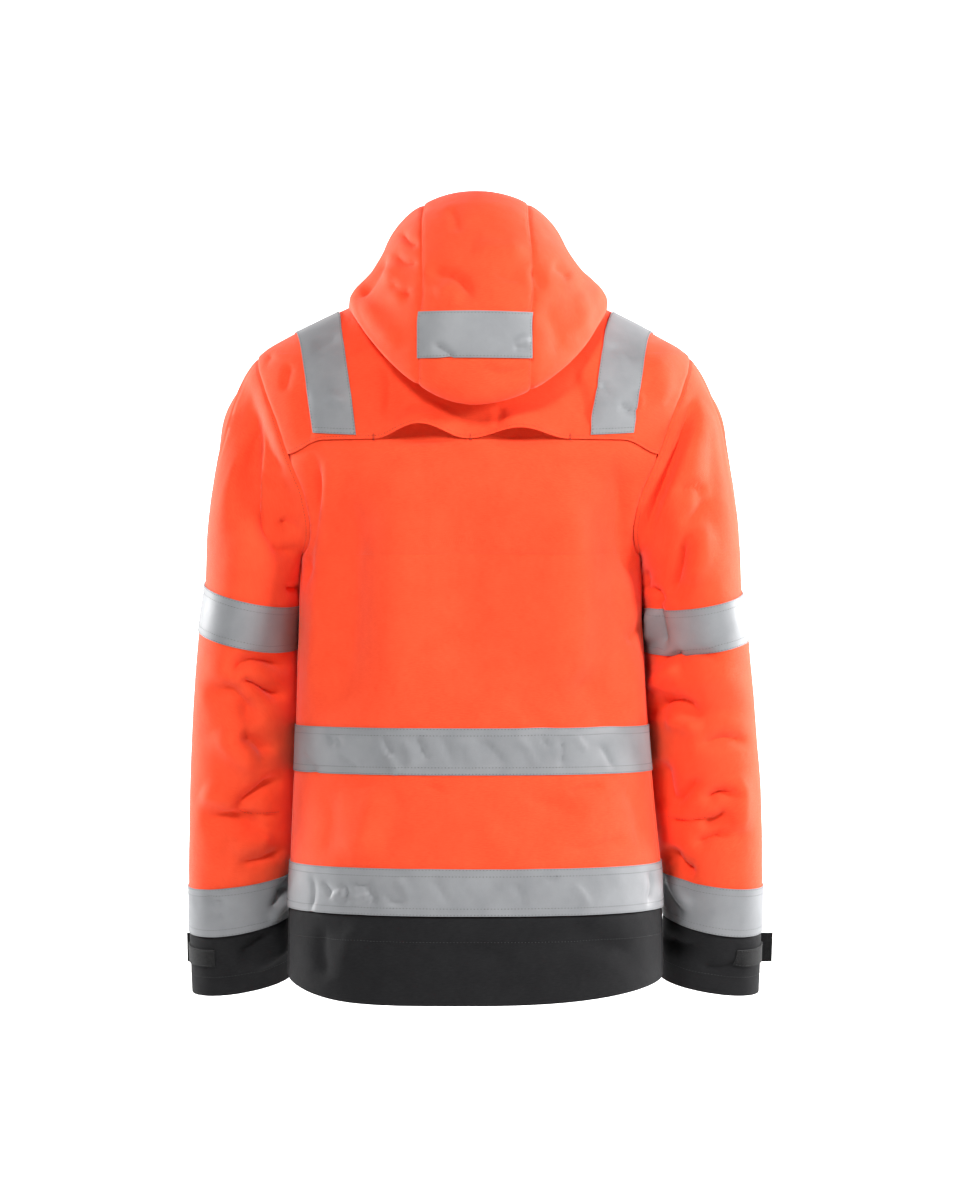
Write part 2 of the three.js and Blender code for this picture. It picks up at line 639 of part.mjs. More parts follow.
// The sleeve's surface: s from 0 at the armhole to 1 at the first free section, then down the table.
const SLEEVE_FOLD_FACING = { none: 0.1, full: 0.5 };
const CAP_FOLDS_FULL = 0.3; // the folds start at the armhole and are full from this step
function sleeve(turn, s, lean) {
  const spot = s < 1 ? capPoint(turn, s, lean) : sleeveSection(turn, s, lean);
  const facing = Math.sin(turn);
  const lift = SLEEVE_FOLDS.filter((fold) => fold.side * facing > 0)
    .map((fold) => foldLift(fold, spot.x, spot.z))
    .reduce((sum, each) => sum + each, 0);
  const outward = point(Math.cos(turn), Math.sin(turn), 0);
  const felt = smooth(Math.abs(facing), SLEEVE_FOLD_FACING.none, SLEEVE_FOLD_FACING.full);
  return spot.addScaledVector(outward, lift * felt * smooth(s, 0, CAP_FOLDS_FULL));
}

const CAP_STEPS = [0, 0.06, 0.17, 0.32, 0.5, 0.74];
const SLEEVE_STEPS = [1, 2, 2.5, 3, 3.4, 3.8, 4.2, 4.6, 5, 5.5, 6, 6.5];
const UPPER_BAND_STEPS = [2, 2.5, 3];
const CUFF_SEAM_S = 7;
const SLEEVE_SEAM_S = 0.004; // half a seam in the table's own steps
const SLEEVE_END_S = CUFF_SEAM_S - SLEEVE_SEAM_S;
const CUFF_STEPS = [CUFF_SEAM_S + SLEEVE_SEAM_S, 7.32, 7.66, 8];
const S_STEP = 0.01;

function sleeveNet(steps, lean) {
  const surface = (turn, s) => sleeve(turn, s, lean);
  return steps.map((s) =>
    Array.from({ length: 2 * HALF_SLEEVE_COLUMNS }, (_, c) => {
      const turn = (Math.PI * c) / HALF_SLEEVE_COLUMNS;
      const normal = s === 0 ? armholeNormal(turn) : normalOf(surface, turn, s, S_STEP, S_STEP, -1);
      return { spot: surface(turn, s), normal };
    }),
  );
}

// A patch of a sleeve between two turns, on the sleeve's own columns
function sleevePatch(steps, firstColumn, lastColumn, lean) {
  return sleeveNet(steps, lean).map((row) => {
    const picked = [];
    for (let c = firstColumn; c <= lastColumn; c += 1) picked.push(row[(c + row.length) % row.length]);
    return picked;
  });
}

const SIDES = [
  { name: "left", lean: 1, place: (net) => net },
  { name: "right", lean: -1, place: mirrorNet },
];

function sleeves() {
  const tapeFrom = WALL + NEAR_LIFT;
  const tapeTo = tapeFrom + TAPE_THICK;
  return SIDES.flatMap(({ name, lean, place }) => {
    const main = place(sleeveNet([...CAP_STEPS, ...SLEEVE_STEPS, SLEEVE_END_S], lean));
    const upper = place(sleeveNet(UPPER_BAND_STEPS, lean));
    const lower = place(sleeveNet([...SLEEVE_STEPS.slice(-2), SLEEVE_END_S], lean));
    const cuff = place(sleeveNet(CUFF_STEPS, lean));
    return [
      wallFrom(`sleeve_${name}`, CLOTH.orange, main, 0, WALL, true),
      wallFrom(`sleeve_band_upper_${name}`, CLOTH.tape, upper, tapeFrom, tapeTo, true),
      wallFrom(`sleeve_band_lower_${name}`, CLOTH.tape, lower, tapeFrom, tapeTo, true),
      wallFrom(`cuff_${name}`, CLOTH.black, cuff, 0, WALL, true),
      cuffLoop(name, lean, place),
      cuffTab(name, lean, place),
    ];
  });
}

// The hook-and-loop landing lies on the outside of the cuff.
const LOOP = { thick: 1.4, steps: [7.24, 7.52], firstColumn: 0, lastColumn: 4 };
function cuffLoop(name, lean, place) {
  const net = place(sleevePatch(LOOP.steps, LOOP.firstColumn, LOOP.lastColumn, lean));
  return wallFrom(`cuff_loop_${name}`, CLOTH.loop, net, WALL + NEAR_LIFT, WALL + NEAR_LIFT + LOOP.thick);
}

// The closing tab is sewn on at the front of the cuff, and its free end stands off past the outer side.
const TAB = {
  thick: 2,
  steps: [7.38, 7.59, 7.8],
  firstColumn: -7,
  lastColumn: -4,
  free: 48, // length of the free end
  freeMore: 4.5, // more of it on the right cuff, less on the left
  freeSteps: 3,
  standOff: 0.2,
};
function cuffTab(name, lean, place) {
  const rows = sleevePatch(TAB.steps, TAB.firstColumn, TAB.lastColumn, lean);
  const net = rows.map((row) => {
    const [before, last] = row.slice(-2);
    const level = (v) => point(v.x, v.y, 0).normalize();
    const along = level(last.spot.clone().sub(before.spot));
    const onward = along.addScaledVector(level(last.normal), TAB.standOff).normalize();
    const length = TAB.free - TAB.freeMore * lean;
    const free = Array.from({ length: TAB.freeSteps }, (_, i) => ({
      spot: last.spot.clone().addScaledVector(onward, (length * (i + 1)) / TAB.freeSteps),
      normal: last.normal,
    }));
    return [...row, ...free];
  });
  return wallFrom(`cuff_tab_${name}`, CLOTH.loop, place(net), WALL + NEAR_LIFT, WALL + NEAR_LIFT + TAB.thick);
}

// Hood sections, from the neck seam under the pouch, round its fold and over the crown to the face edge.
// Each has a middle point, a widest point at the side and an end at the front of the neck.
const HOOD_SECTIONS = table(
  ["k", "midY", "midZ", "half", "sideY", "sideZ", "endX", "endY", "endZ", "seamX", "power", "flat"],
  [
    [0, 70.5, -7, 83, 0, 4, 56, -83, -34, 38, 2.2, 0],
    [1, 108, -58, 113, 12, -13, 57, -85, -34, 48, 2.2, 0],
    [2, 141, -112, 131, 28, -24, 60, -88, -31, 55, 2.2, 0],
    [3, 161, -141, 139, 40, -31, 62, -90, -28, 58, 2.2, 0],
    [4, 174, -122, 138, 46, -22, 63, -91, -26, 59, 2.1, 0.5],
    [5, 177, -95, 133, 47, -13, 64, -92, -24, 59, 2.1, 0.9],
    [6, 169, -46, 124, 44, -3, 64, -92, -22, 59, 1.7, 0.9],
    [7, 150, 4, 116, 36, 5, 64, -92, -20, 59, 1.4, 0.5],
    [8, 120, 46, 110, 25, 8, 64, -92, -18, 58, 1.2, 0.2],
    [9, 84, 79, 104, 8, 8, 63, -91, -16, 57, 0.95, 0],
    [10, 46, 95, 101, -10, 6, 62, -90, -14, 56, 0.88, 0],
    [11, 10, 94, 96, -28, 2, 61, -89, -12, 55, 0.88, 0],
    [12, -24, 82, 91, -44, -2, 60, -88, -10, 53, 1.1, 0],
  ],
);
const hoodAt = curveOf(HOOD_SECTIONS, "k");
const HOOD_SHARES = { seam: 0.3, side: 0.72 }; // where the panel seam and the widest point are, from 0 to 1
const HOOD_LEAN = { low: -1.5, lowFull: 2, high: 1.5, highFrom: 6, highFull: 9 }; // sideways, by sections
const HOOD_RIGHT = { rounder: 0.68, from: 4, to: 6.5 }; // the fold hangs fuller on the right side
const HOOD_CLEARANCE = { seam: 3, body: 5.5, from: 0.7, round: 2.5 }; // above the cloth it lies on

function hood(across, k) {
  const row = hoodAt(k);
  const [side, share] = [Math.sign(across) || 1, Math.abs(across)];
  const seamTurn = Math.asin(row.seamX / row.half);
  let spot;
  if (share <= HOOD_SHARES.side) {
    const pastSeam = (share - HOOD_SHARES.seam) / (HOOD_SHARES.side - HOOD_SHARES.seam);
    const turn =
      pastSeam <= 0
        ? Math.asin((row.seamX * share) / HOOD_SHARES.seam / row.half)
        : mix(seamTurn, Math.PI / 2, pastSeam);
    const past = (Math.max(0, turn - seamTurn) / (Math.PI / 2 - seamTurn)) * (Math.PI / 2);
    const rounder = side < 0 ? mix(HOOD_RIGHT.rounder, 1, smooth(k, HOOD_RIGHT.from, HOOD_RIGHT.to)) : 1;
    const drop = Math.max(0, Math.cos(mix(turn, past, row.flat))) ** (row.power * rounder);
    const y = mix(row.sideY, row.midY, Math.cos(turn));
    spot = point(row.half * Math.sin(turn), y, mix(row.sideZ, row.midZ, drop));
  } else {
    const turn = ((share - HOOD_SHARES.side) / (1 - HOOD_SHARES.side)) * (Math.PI / 2);
    spot = point(
      mix(row.endX, row.half, Math.cos(turn)),
      mix(row.sideY, row.endY, Math.sin(turn)),
      mix(row.sideZ, row.endZ, 1 - Math.cos(turn)),
    );
  }
  const clearance = mix(HOOD_CLEARANCE.seam, HOOD_CLEARANCE.body, smooth(k, 0, HOOD_CLEARANCE.from));
  const floor = topOfBody(spot.x, spot.y) + 2 * WALL + clearance;
  if (Number.isFinite(floor)) spot.z = softMax(spot.z, floor, HOOD_CLEARANCE.round);
  const low = HOOD_LEAN.low * smooth(k, 0, HOOD_LEAN.lowFull);
  spot.x = side * spot.x + mix(low, HOOD_LEAN.high, smooth(k, HOOD_LEAN.highFrom, HOOD_LEAN.highFull));
  return spot;
}

// The greater of two heights, rounded off where they meet
const FAR_APART = 20; // in roundings, beyond which the greater one stays as it is
function softMax(a, b, round) {
  const gap = (a - b) / round;
  if (gap > FAR_APART) return a;
  return b + round * Math.log(1 + Math.exp(gap));
}

const PATCH_ROWS = [5, 5.5, 6];
const HOOD_ROWS = [0, 0.7, 1.4, 2.1, 2.6, 3, 3.4, 3.9, 4.4, ...PATCH_ROWS, 6.8, 7.6, 8.4, 9.2, 10, 10.8, 12];
const HOOD_SEAM_SHARE = 0.001;
const HOOD_STEPS = { across: 0.006, k: 0.04 };
function hoodNet(from, to, columns, rows = HOOD_ROWS) {
  return rows.map((k) =>
    Array.from({ length: columns + 1 }, (_, c) => {
      const across = mix(from, to, c / columns);
      const normal = normalOf(hood, across, k, HOOD_STEPS.across, HOOD_STEPS.k, -1);
      return { spot: hood(across, k), normal };
    }),
  );
}

function hoodPieces() {
  const seam = HOOD_SHARES.seam;
  const patchFrom = WALL + NEAR_LIFT;
  const patch = hoodNet(-seam, seam, HOOD_CENTRE_COLUMNS, PATCH_ROWS);
  return [
    wallFrom("hood_centre", CLOTH.orange, hoodNet(-seam, seam, HOOD_CENTRE_COLUMNS), 0, WALL),
    wallFrom("hood_left", CLOTH.orange, hoodNet(seam + HOOD_SEAM_SHARE, 1, HOOD_SIDE_COLUMNS), 0, WALL),
    wallFrom("hood_right", CLOTH.orange, hoodNet(-1, -seam - HOOD_SEAM_SHARE, HOOD_SIDE_COLUMNS), 0, WALL),
    wallFrom("hood_patch", CLOTH.tape, patch, patchFrom, patchFrom + TAPE_THICK),
  ];
}

// The zip fills the gap between the fronts and between the collar's ends, from the hem to the collar's top.
const ZIP = { half: ZIP_HALF - 0.7, from: -0.2, to: 1.8 };
function frontPath(share) {
  const [hemZ, neckZ] = [hemHeight(-Math.PI / 2), necklineHeight(-Math.PI / 2)];
  if (share <= 1) {
    const z = mix(hemZ, neckZ, share);
    return point(0, -bodyAt(z).front, z);
  }
  return collarPoint(FRONT_NECK, share - 1).setX(0);
}
const ZIP_BODY_STEPS = 25;
const ZIP_COLLAR_STEPS = [1, 1.12, 1.3, 1.5, 1.75, 1.98];
const zipBodyShares = Array.from({ length: ZIP_BODY_STEPS }, (_, i) => i / ZIP_BODY_STEPS);
const ZIP_STEPS = [...zipBodyShares, ...ZIP_COLLAR_STEPS];
const PATH_STEP = 0.01;
function zipFrame(share) {
  const before = frontPath(Math.max(0, share - PATH_STEP));
  const after = frontPath(Math.min(2, share + PATH_STEP));
  const up = after.sub(before).normalize();
  return { spot: frontPath(share), up, out: point(0, -up.z, up.y) };
}
function zip() {
  const foldAt = (z) => {
    const angle = angleAtX(ZIP_HALF, z, -1);
    return body(angle, z).y - ringPoint(angle, z).y;
  };
  const net = ZIP_STEPS.map((share) => {
    const { spot, out } = zipFrame(share);
    const fold = share < 1 ? foldAt(spot.z) : 0;
    return [-ZIP.half, ZIP.half].map((x) => ({ spot: point(x, spot.y + fold, spot.z), normal: out }));
  });
  return wallFrom("zip", CLOTH.zip, net, ZIP.from, ZIP.to);
}

// The slider sits near the top of the collar, and its pull hangs from a bridge.
const SLIDER = { share: 1.72, wide: 9, tall: 15, thick: 3.4, round: 1.5 };
const BRIDGE = { wide: 2.4, tall: 8.5, out: 5.2, wall: 1.4, corner: 1.5, sunk: 0.4, floor: 0.35 };
const PULL = { wide: 9, long: 34, thick: 1.6, round: 2, bar: 1.8, window: 9, windowWide: 4.6, axisOut: 2.1 };
function pullAxis() {
  const { spot, out } = zipFrame(SLIDER.share);
  return swayed(spot.clone()).addScaledVector(out, ZIP.to + SEAM + SLIDER.thick + PULL.axisOut);
}

function roundedBox(wide, tall, round) {
  const [x, y] = [wide / 2, tall / 2];
  const shape = new THREE.Shape();
  shape.absarc(x - round, y - round, round, 0, Math.PI / 2);
  shape.absarc(-x + round, y - round, round, Math.PI / 2, Math.PI);
  shape.absarc(-x + round, -y + round, round, Math.PI, 1.5 * Math.PI);
  shape.absarc(x - round, -y + round, round, 1.5 * Math.PI, 2 * Math.PI);
  return shape;
}

// The bridge is a ring in the side view, sunk a little into the plate.
function bridgeShape() {
  const half = BRIDGE.tall / 2;
  const shape = new THREE.Shape();
  shape.moveTo(-BRIDGE.sunk, -half);
  shape.lineTo(BRIDGE.out - BRIDGE.corner, -half);
  shape.lineTo(BRIDGE.out, BRIDGE.corner - half);
  shape.lineTo(BRIDGE.out, half - BRIDGE.corner);
  shape.lineTo(BRIDGE.out - BRIDGE.corner, half);
  shape.lineTo(-BRIDGE.sunk, half);
  const [inner, far] = [half - BRIDGE.wall, BRIDGE.out - BRIDGE.wall];
  const gap = new THREE.Path();
  gap.moveTo(BRIDGE.floor, -inner);
  gap.lineTo(BRIDGE.floor, inner);
  gap.lineTo(far, inner);
  gap.lineTo(far, -inner);
  shape.holes.push(gap);
  return shape;
}

// The slider's plate lies in X and Z with its thickness out, and the bridge stands on it across the zip.
function slider() {
  const { spot, out } = zipFrame(SLIDER.share);
  const plate = new THREE.ExtrudeGeometry(roundedBox(SLIDER.wide, SLIDER.tall, SLIDER.round), {
    depth: SLIDER.thick,
    bevelEnabled: false,
    curveSegments: 3,
  });
  const bridge = new THREE.ExtrudeGeometry(bridgeShape(), { depth: BRIDGE.wide, bevelEnabled: false });
  bridge.rotateY(-Math.PI / 2).translate(BRIDGE.wide / 2, 0, SLIDER.thick);
  const geometry = joined(plate, bridge);
  geometry.rotateX(Math.PI / 2);
  const mesh = new THREE.Mesh(geometry, CLOTH.metal);
  mesh.name = "zip_slider";
  mesh.position.copy(swayed(spot.clone())).addScaledVector(out, ZIP.to + SEAM);
  mesh.rotation.x = -Math.atan2(out.z, -out.y);
  return mesh;
}

// The pull tab hangs by the bar above its window.
function pull() {
  const outline = roundedBox(PULL.wide, PULL.long, PULL.round);
  const top = PULL.long / 2 - PULL.bar;
  const [side, bottom] = [PULL.windowWide / 2, top - PULL.window];
  const window = new THREE.Path();
  window.moveTo(-side, top);
  window.lineTo(-side, bottom);
  window.lineTo(side, bottom);
  window.lineTo(side, top);
  outline.holes.push(window);
  const plan = { depth: PULL.thick, bevelEnabled: false, curveSegments: 4 };
  const geometry = new THREE.ExtrudeGeometry(outline, plan);
  geometry.translate(0, -PULL.long / 2 + PULL.bar / 2, -PULL.thick / 2).rotateX(Math.PI / 2);
  const mesh = new THREE.Mesh(geometry, CLOTH.metal);
  mesh.name = "zip_pull";
  mesh.position.copy(pullAxis());
  const { out } = zipFrame(SLIDER.share);
  mesh.rotation.x = -Math.atan2(out.z, -out.y);
  return mesh;
}

// Two overlapping forms joined into one closed solid
const wasm = await Module();
wasm.setup();
const SAME_POINT = 1e-4; // corners nearer than this are one
function solidOf(geometry) {
  const bare = geometry.clone();
  bare.deleteAttribute("normal");
  bare.deleteAttribute("uv");
  const merged = mergeVertices(bare, SAME_POINT);
  const vertProperties = merged.attributes.position.array;
  const triVerts = new Uint32Array(merged.index.array);
  return new wasm.Manifold(new wasm.Mesh({ numProp: 3, vertProperties, triVerts }));
}
function joined(a, b) {
  const made = solidOf(a).add(solidOf(b)).getMesh();
  const geometry = new THREE.BufferGeometry();
  geometry.setAttribute("position", new THREE.BufferAttribute(new Float32Array(made.vertProperties), 3));
  geometry.setIndex(new THREE.BufferAttribute(new Uint32Array(made.triVerts), 1));
  return geometry;
}

const jacket = new THREE.Group();
jacket.name = "hi_vis_work_jacket";
jacket.add(
  backPanel(),
  backYoke(),
  ...fronts(),
  ...hems(),
  ...bodyBands(),
  ...shoulderTapes(),
  collar(),
  ...sleeves(),
  ...hoodPieces(),
  zip(),
  slider(),
  pull(),
);

export default jacket;
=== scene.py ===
"""A hooded hi-vis work jacket in its worn form: creased and sewn cloth, materials, light and camera.

The forms are those of the part: the same sections and functions, in millimetres, at a finer step.
"""

import math

import bpy
import numpy as np
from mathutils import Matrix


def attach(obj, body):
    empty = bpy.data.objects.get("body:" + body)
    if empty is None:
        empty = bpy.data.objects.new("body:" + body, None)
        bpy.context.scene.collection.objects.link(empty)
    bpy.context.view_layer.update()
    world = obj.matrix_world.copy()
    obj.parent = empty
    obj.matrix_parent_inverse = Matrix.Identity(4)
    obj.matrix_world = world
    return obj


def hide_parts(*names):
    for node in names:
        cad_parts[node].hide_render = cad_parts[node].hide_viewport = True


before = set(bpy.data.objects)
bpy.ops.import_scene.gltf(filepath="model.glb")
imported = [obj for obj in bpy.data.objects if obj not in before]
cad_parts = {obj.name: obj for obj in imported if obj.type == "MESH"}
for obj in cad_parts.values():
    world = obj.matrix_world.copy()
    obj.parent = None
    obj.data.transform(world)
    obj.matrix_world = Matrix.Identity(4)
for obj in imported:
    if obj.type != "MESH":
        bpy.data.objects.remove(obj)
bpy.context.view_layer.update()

MM = 0.001
WALL = 1.6
SEAM = 0.4  # the gap between two pieces that are sewn together
TAPE_THICK = 0.9
TAPE_LIFT = 1.2  # how far a shoulder tape lies above the wall
NEAR_LIFT = 0.35  # and any other tape
STEP = 3.2  # size of the cloth's own mesh
TAPE = {"start": WALL + NEAR_LIFT, "thick": TAPE_THICK, "held": "laid"}
QUARTER = math.pi / 2


# Small tools for tables and curves


def smooth(value, low, high):
    share = np.clip((value - low) / (high - low), 0, 1)
    return share * share * (3 - 2 * share)


def mix(a, b, share):
    return a + (b - a) * share


def signed_power(value, power):
    return np.sign(value) * np.abs(value) ** power


def point(x, y, z):
    return np.stack(np.broadcast_arrays(x, y, z), axis=-1).astype(float)


def unit(vector):
    length = np.linalg.norm(vector, axis=-1, keepdims=True)
    return vector / np.maximum(length, 1e-9)


def curve_of(rows):
    """A smooth curve through a table's rows, read along its first column, that never overshoots."""
    data = np.array(rows, float)
    keys, values = data[:, 0], data[:, 1:]
    steps = np.diff(values, axis=0) / np.diff(keys)[:, None]
    slopes = np.empty_like(values)
    slopes[0], slopes[-1] = steps[0], steps[-1]
    before, after = steps[:-1], steps[1:]
    product, total = before * after, before + after
    slopes[1:-1] = np.where(product > 0, 2 * product / np.where(product > 0, total, 1), 0)

    def at(key):
        x = np.clip(np.asarray(key, float), keys[0], keys[-1])
        i = np.clip(np.searchsorted(keys, x, side="left") - 1, 0, len(keys) - 2)
        span = keys[i + 1] - keys[i]
        t = ((x - keys[i]) / span)[..., None]
        span = span[..., None]
        found = (
            (2 * t**3 - 3 * t**2 + 1) * values[i]
            + (t**3 - 2 * t**2 + t) * span * slopes[i]
            + (3 * t**2 - 2 * t**3) * values[i + 1]
            + (t**3 - t**2) * span * slopes[i + 1]
        )
        return np.moveaxis(found, -1, 0)

    return at


# The body: half width, reach to the back and to the front, and squareness of its level sections

body_at = curve_of(
    [
        (-800, 205, 131, 141, 2.3),
        (-683, 204, 134, 144, 2.3),
        (-600, 199, 132, 145, 2.3),
        (-510, 193, 127, 146, 2.3),
        (-400, 188, 129, 148, 2.3),
        (-300, 186, 134, 147, 2.3),
        (-240, 209, 136, 143, 2.3),
        (-198, 234, 134, 139, 2.3),
        (-160, 247, 128, 131, 2.27),
        (-130, 250, 122, 124, 2.25),
        (-106, 247, 114, 116, 2.22),
        (-86, 238, 106, 107, 2.2),
        (-75, 226, 100, 102, 2.18),
        (-64, 207, 94, 97, 2.16),
        (-53, 187, 88, 91, 2.15),
        (-42, 165, 82, 87, 2.14),
        (-20, 119, 70, 80, 2.12),
        (0, 78, 62, 76, 2.1),
        (10, 60, 55, 72, 2.1),
    ]
)

# The largest folds, as the part has them: side, from, to, width and depth
BODY_FOLDS = [
    (1, 137, -235, 142, -470, 24, -4.0),
    (1, 92, -215, 94, -470, 26, 3.5),
    (1, 29, -225, 30, -470, 50, -2.5),
    (1, -92, -230, -96, -450, 34, 3.5),
    (1, -146, -230, -166, -400, 22, -3.5),
    (1, 150, -560, 130, -625, 28, 3.0),
    (1, 40, -560, 70, -625, 30, -2.5),
    (1, -90, -555, -40, -625, 30, -2.5),
    (-1, 105, -200, 120, -470, 32, -4.0),
    (-1, 60, -200, 66, -470, 34, 3.5),
    (-1, -70, -210, -76, -465, 34, 3.5),
    (-1, -118, -205, -126, -470, 30, -4.0),
    (-1, 110, -560, 95, -625, 28, 2.5),
    (-1, -80, -558, -98, -622, 28, -2.5),
]


# Folds fade where the cloth faces the side: the sines that they fade between
BODY_FOLDS_FACING, SLEEVE_FOLDS_FACING = (0.15, 0.6), (0.1, 0.5)


def fold_lift(folds, facing, x, z, low, high):
    """How far the folds lift the cloth: a bell across each, and a soft start and end along it."""
    lift = 0
    for side, x1, z1, x2, z2, width, depth in folds:
        dx, dz = x2 - x1, z2 - z1
        length = math.hypot(dx, dz)
        along = ((x - x1) * dx + (z - z1) * dz) / length**2
        across = ((x - x1) * dz - (z - z1) * dx) / length
        ends = smooth(along, -0.12, 0.3) * (1 - smooth(along, 0.7, 1.12))
        lift = lift + np.where(side * facing > 0, depth * ends * np.exp(-((across / width) ** 2)), 0)
    return lift * smooth(np.abs(facing), low, high)


def ring_point(angle, z):
    half, back, front, square = body_at(z)
    across = signed_power(np.cos(angle), 2 / square)
    deep = signed_power(np.sin(angle), 2 / square)
    return point(half * across, np.where(deep >= 0, back, front) * deep, z)


def body(angle, z):
    """The body's surface at an angle round it: 0 at the left side, 90 degrees at the middle of the back."""
    spot = ring_point(angle, z)
    lift = fold_lift(BODY_FOLDS, np.sin(angle), spot[..., 0], spot[..., 2], *BODY_FOLDS_FACING)
    outward = point(np.cos(angle), np.sin(angle), 0)
    return spot + outward * np.asarray(lift)[..., None]


NEAR_ANGLE, NEAR_Z = 0.004, 0.5
TOP_LOWEST, TOP_HIGHEST = -130.0, 10.0
HALVINGS = 30  # of the range in which a surface is searched for


def normal_of(surface, u, v, step_u, step_v):
    along_u = surface(u + step_u, v) - surface(u - step_u, v)
    along_v = surface(u, v + step_v) - surface(u, v - step_v)
    return unit(np.cross(along_u, along_v))


def body_normal(angle, z):
    return normal_of(body, angle, z, NEAR_ANGLE, NEAR_Z)


def angle_at_x(x, z, facing):
    half, _, _, square = body_at(z)
    return facing * np.arccos(np.clip(signed_power(x / half, square / 2), -1, 1))


def inside_section(x, y, z):
    half, back, front, square = body_at(z)
    reach = np.where(y >= 0, back, front)
    return np.abs(x / half) ** square + np.abs(y / reach) ** square < 1


def top_of_body(x, y):
    """The height of the body's top surface over points of the plan, or -inf outside it."""
    low, high = np.full(x.shape, TOP_LOWEST), np.full(x.shape, TOP_HIGHEST)
    over = inside_section(x, y, low)
    for _ in range(HALVINGS):
        middle = (low + high) / 2
        inside = inside_section(x, y, middle)
        low, high = np.where(inside, middle, low), np.where(inside, high, middle)
    return np.where(over, low, -np.inf)


# The armhole, and the panels' edges on it

ARM_MIDDLE_Z, ARM_HALF_HEIGHT = -191, 109
ARM_TOP_Y, ARM_BOTTOM_Y, ARM_BACK, ARM_FRONT = 2, 24, 69, 87
TIP_Z = ARM_MIDDLE_Z + ARM_HALF_HEIGHT
UNDERARM_Z = ARM_MIDDLE_Z - ARM_HALF_HEIGHT


def armhole_yz(turn):
    reach = np.where(np.sin(turn) >= 0, ARM_BACK, ARM_FRONT)
    leaning = mix(ARM_TOP_Y, ARM_BOTTOM_Y, (1 - np.cos(turn)) / 2)
    return leaning + reach * np.sin(turn), ARM_MIDDLE_Z + ARM_HALF_HEIGHT * np.cos(turn)


def angle_at_y(y, z):
    _, back, front, square = body_at(z)
    reach = np.where(y >= 0, back, front)
    return np.arcsin(signed_power(y / reach, square / 2))


def armhole_angle(turn):
    return angle_at_y(*armhole_yz(turn))


SIDE_SEAM = armhole_angle(math.pi)
SHOULDER_SEAM_AT_NECK = math.radians(-11.7)


def edge_angle(z, facing):
    """The angle of a panel's edge at the left side, for rows named by their height at that edge."""
    turn = np.arccos(np.clip((z - ARM_MIDDLE_Z) / ARM_HALF_HEIGHT, -1, 1))
    arm = armhole_angle(turn if facing > 0 else 2 * math.pi - turn)
    shoulder = mix(armhole_angle(0.0), SHOULDER_SEAM_AT_NECK, (z - TIP_Z) / (0 - TIP_Z))
    return np.where(z <= UNDERARM_Z, SIDE_SEAM, np.where(z >= TIP_Z, shoulder, arm))


YOKE_EDGE_Z = ARM_MIDDLE_Z
YOKE_RISE, RISE_INNER, RISE_OUTER = 14, 0.62, 0.82
DIP_BACK, DIP_FRONT, DIP_BACK_POWER, DIP_FRONT_POWER, DIP_FROM = 10, 60, 6, 10, -112


def row_height(z, angle):
    """Rows keep their height at a panel's edge, rise to the yoke seam and dip to the neckline inside."""
    across, deep = np.abs(np.cos(angle)), np.sin(angle)
    near = smooth(z, UNDERARM_Z, YOKE_EDGE_Z) * (1 - smooth(z, YOKE_EDGE_Z, TIP_Z))
    rise = np.where(deep > 0, YOKE_RISE * near * (1 - smooth(across, RISE_INNER, RISE_OUTER)), 0)
    dip_back = DIP_BACK * np.maximum(deep, 0) ** DIP_BACK_POWER
    dip_front = DIP_FRONT * np.maximum(-deep, 0) ** DIP_FRONT_POWER
    return z + rise - (dip_back + dip_front) * smooth(z, DIP_FROM, 0)


BAND_WIDE, WAIST_TOP, LOW_TOP = 50, -484, -633
HEM_SEAM_Z = LOW_TOP - BAND_WIDE
HEM_BACK, HEM_SIDE, HEM_FRONT, HEM_LEFT_DROP, HEM_POWER = -778, -757, -747, 5, 1.3


def hem_height(angle):
    deep = np.sin(angle)
    drop = np.where(deep > 0, HEM_LEFT_DROP * np.maximum(0, np.sin(2 * angle)) ** 2, 0)
    return mix(HEM_SIDE, np.where(deep > 0, HEM_BACK, HEM_FRONT), np.abs(deep) ** HEM_POWER) - drop


# At each height, how far the whole jacket hangs to the left, and how much farther the body does
sway_at = curve_of(
    [
        (-800, 1.7, 0),
        (-656, 1.7, 0),
        (-560, 1.8, 2.2),
        (-458, 3.2, 2.8),
        (-348, 3.7, 3.3),
        (-230, 3.7, 0.8),
        (-150, 3.7, 0),
        (-60, 3.7, 0),
        (-20, 0, 0),
        (120, 0, 0),
    ]
)


BODY_TO, SLEEVES_FROM = 190, 250


def swayed(spot):
    """The jacket hangs a little to the wearer's left, the body more than the sleeves."""
    every, more = sway_at(spot[..., 2])
    moved = spot.copy()
    moved[..., 0] += every + more * (1 - smooth(np.abs(spot[..., 0]), BODY_TO, SLEEVES_FROM))
    return moved


# Nets: grids of points on a surface, with the side that is outward


class Net:
    def __init__(self, spot, turn=1, closed=False, shift=0.0):
        self.spot = spot
        self.turn = turn
        self.closed = closed
        self.shift = shift

    def mirrored(self):
        return Net(self.spot * np.array([-1, 1, 1]), -self.turn, self.closed, self.shift)

    def normals(self, spot=None):
        spot = self.spot if spot is None else spot
        down = np.gradient(spot, axis=0)
        if self.closed:
            across = np.roll(spot, -1, axis=1) - np.roll(spot, 1, axis=1)
        else:
            across = np.gradient(spot, axis=1)
        return unit(np.cross(across, down)) * self.turn


CLOSE = (1.1, 2.4)


def shares(length, near_first=True, near_last=True, step=STEP):
    """Places from 0 to 1 along a length in millimetres, with closer ones at the edges that carry a seam."""
    count = max(2, round(length / step))
    places = list(np.linspace(0, 1, count + 1))
    close = [each / length for each in CLOSE]
    if near_first:
        places += close
    if near_last:
        places += [1 - each for each in close]
    return np.array(sorted(places))


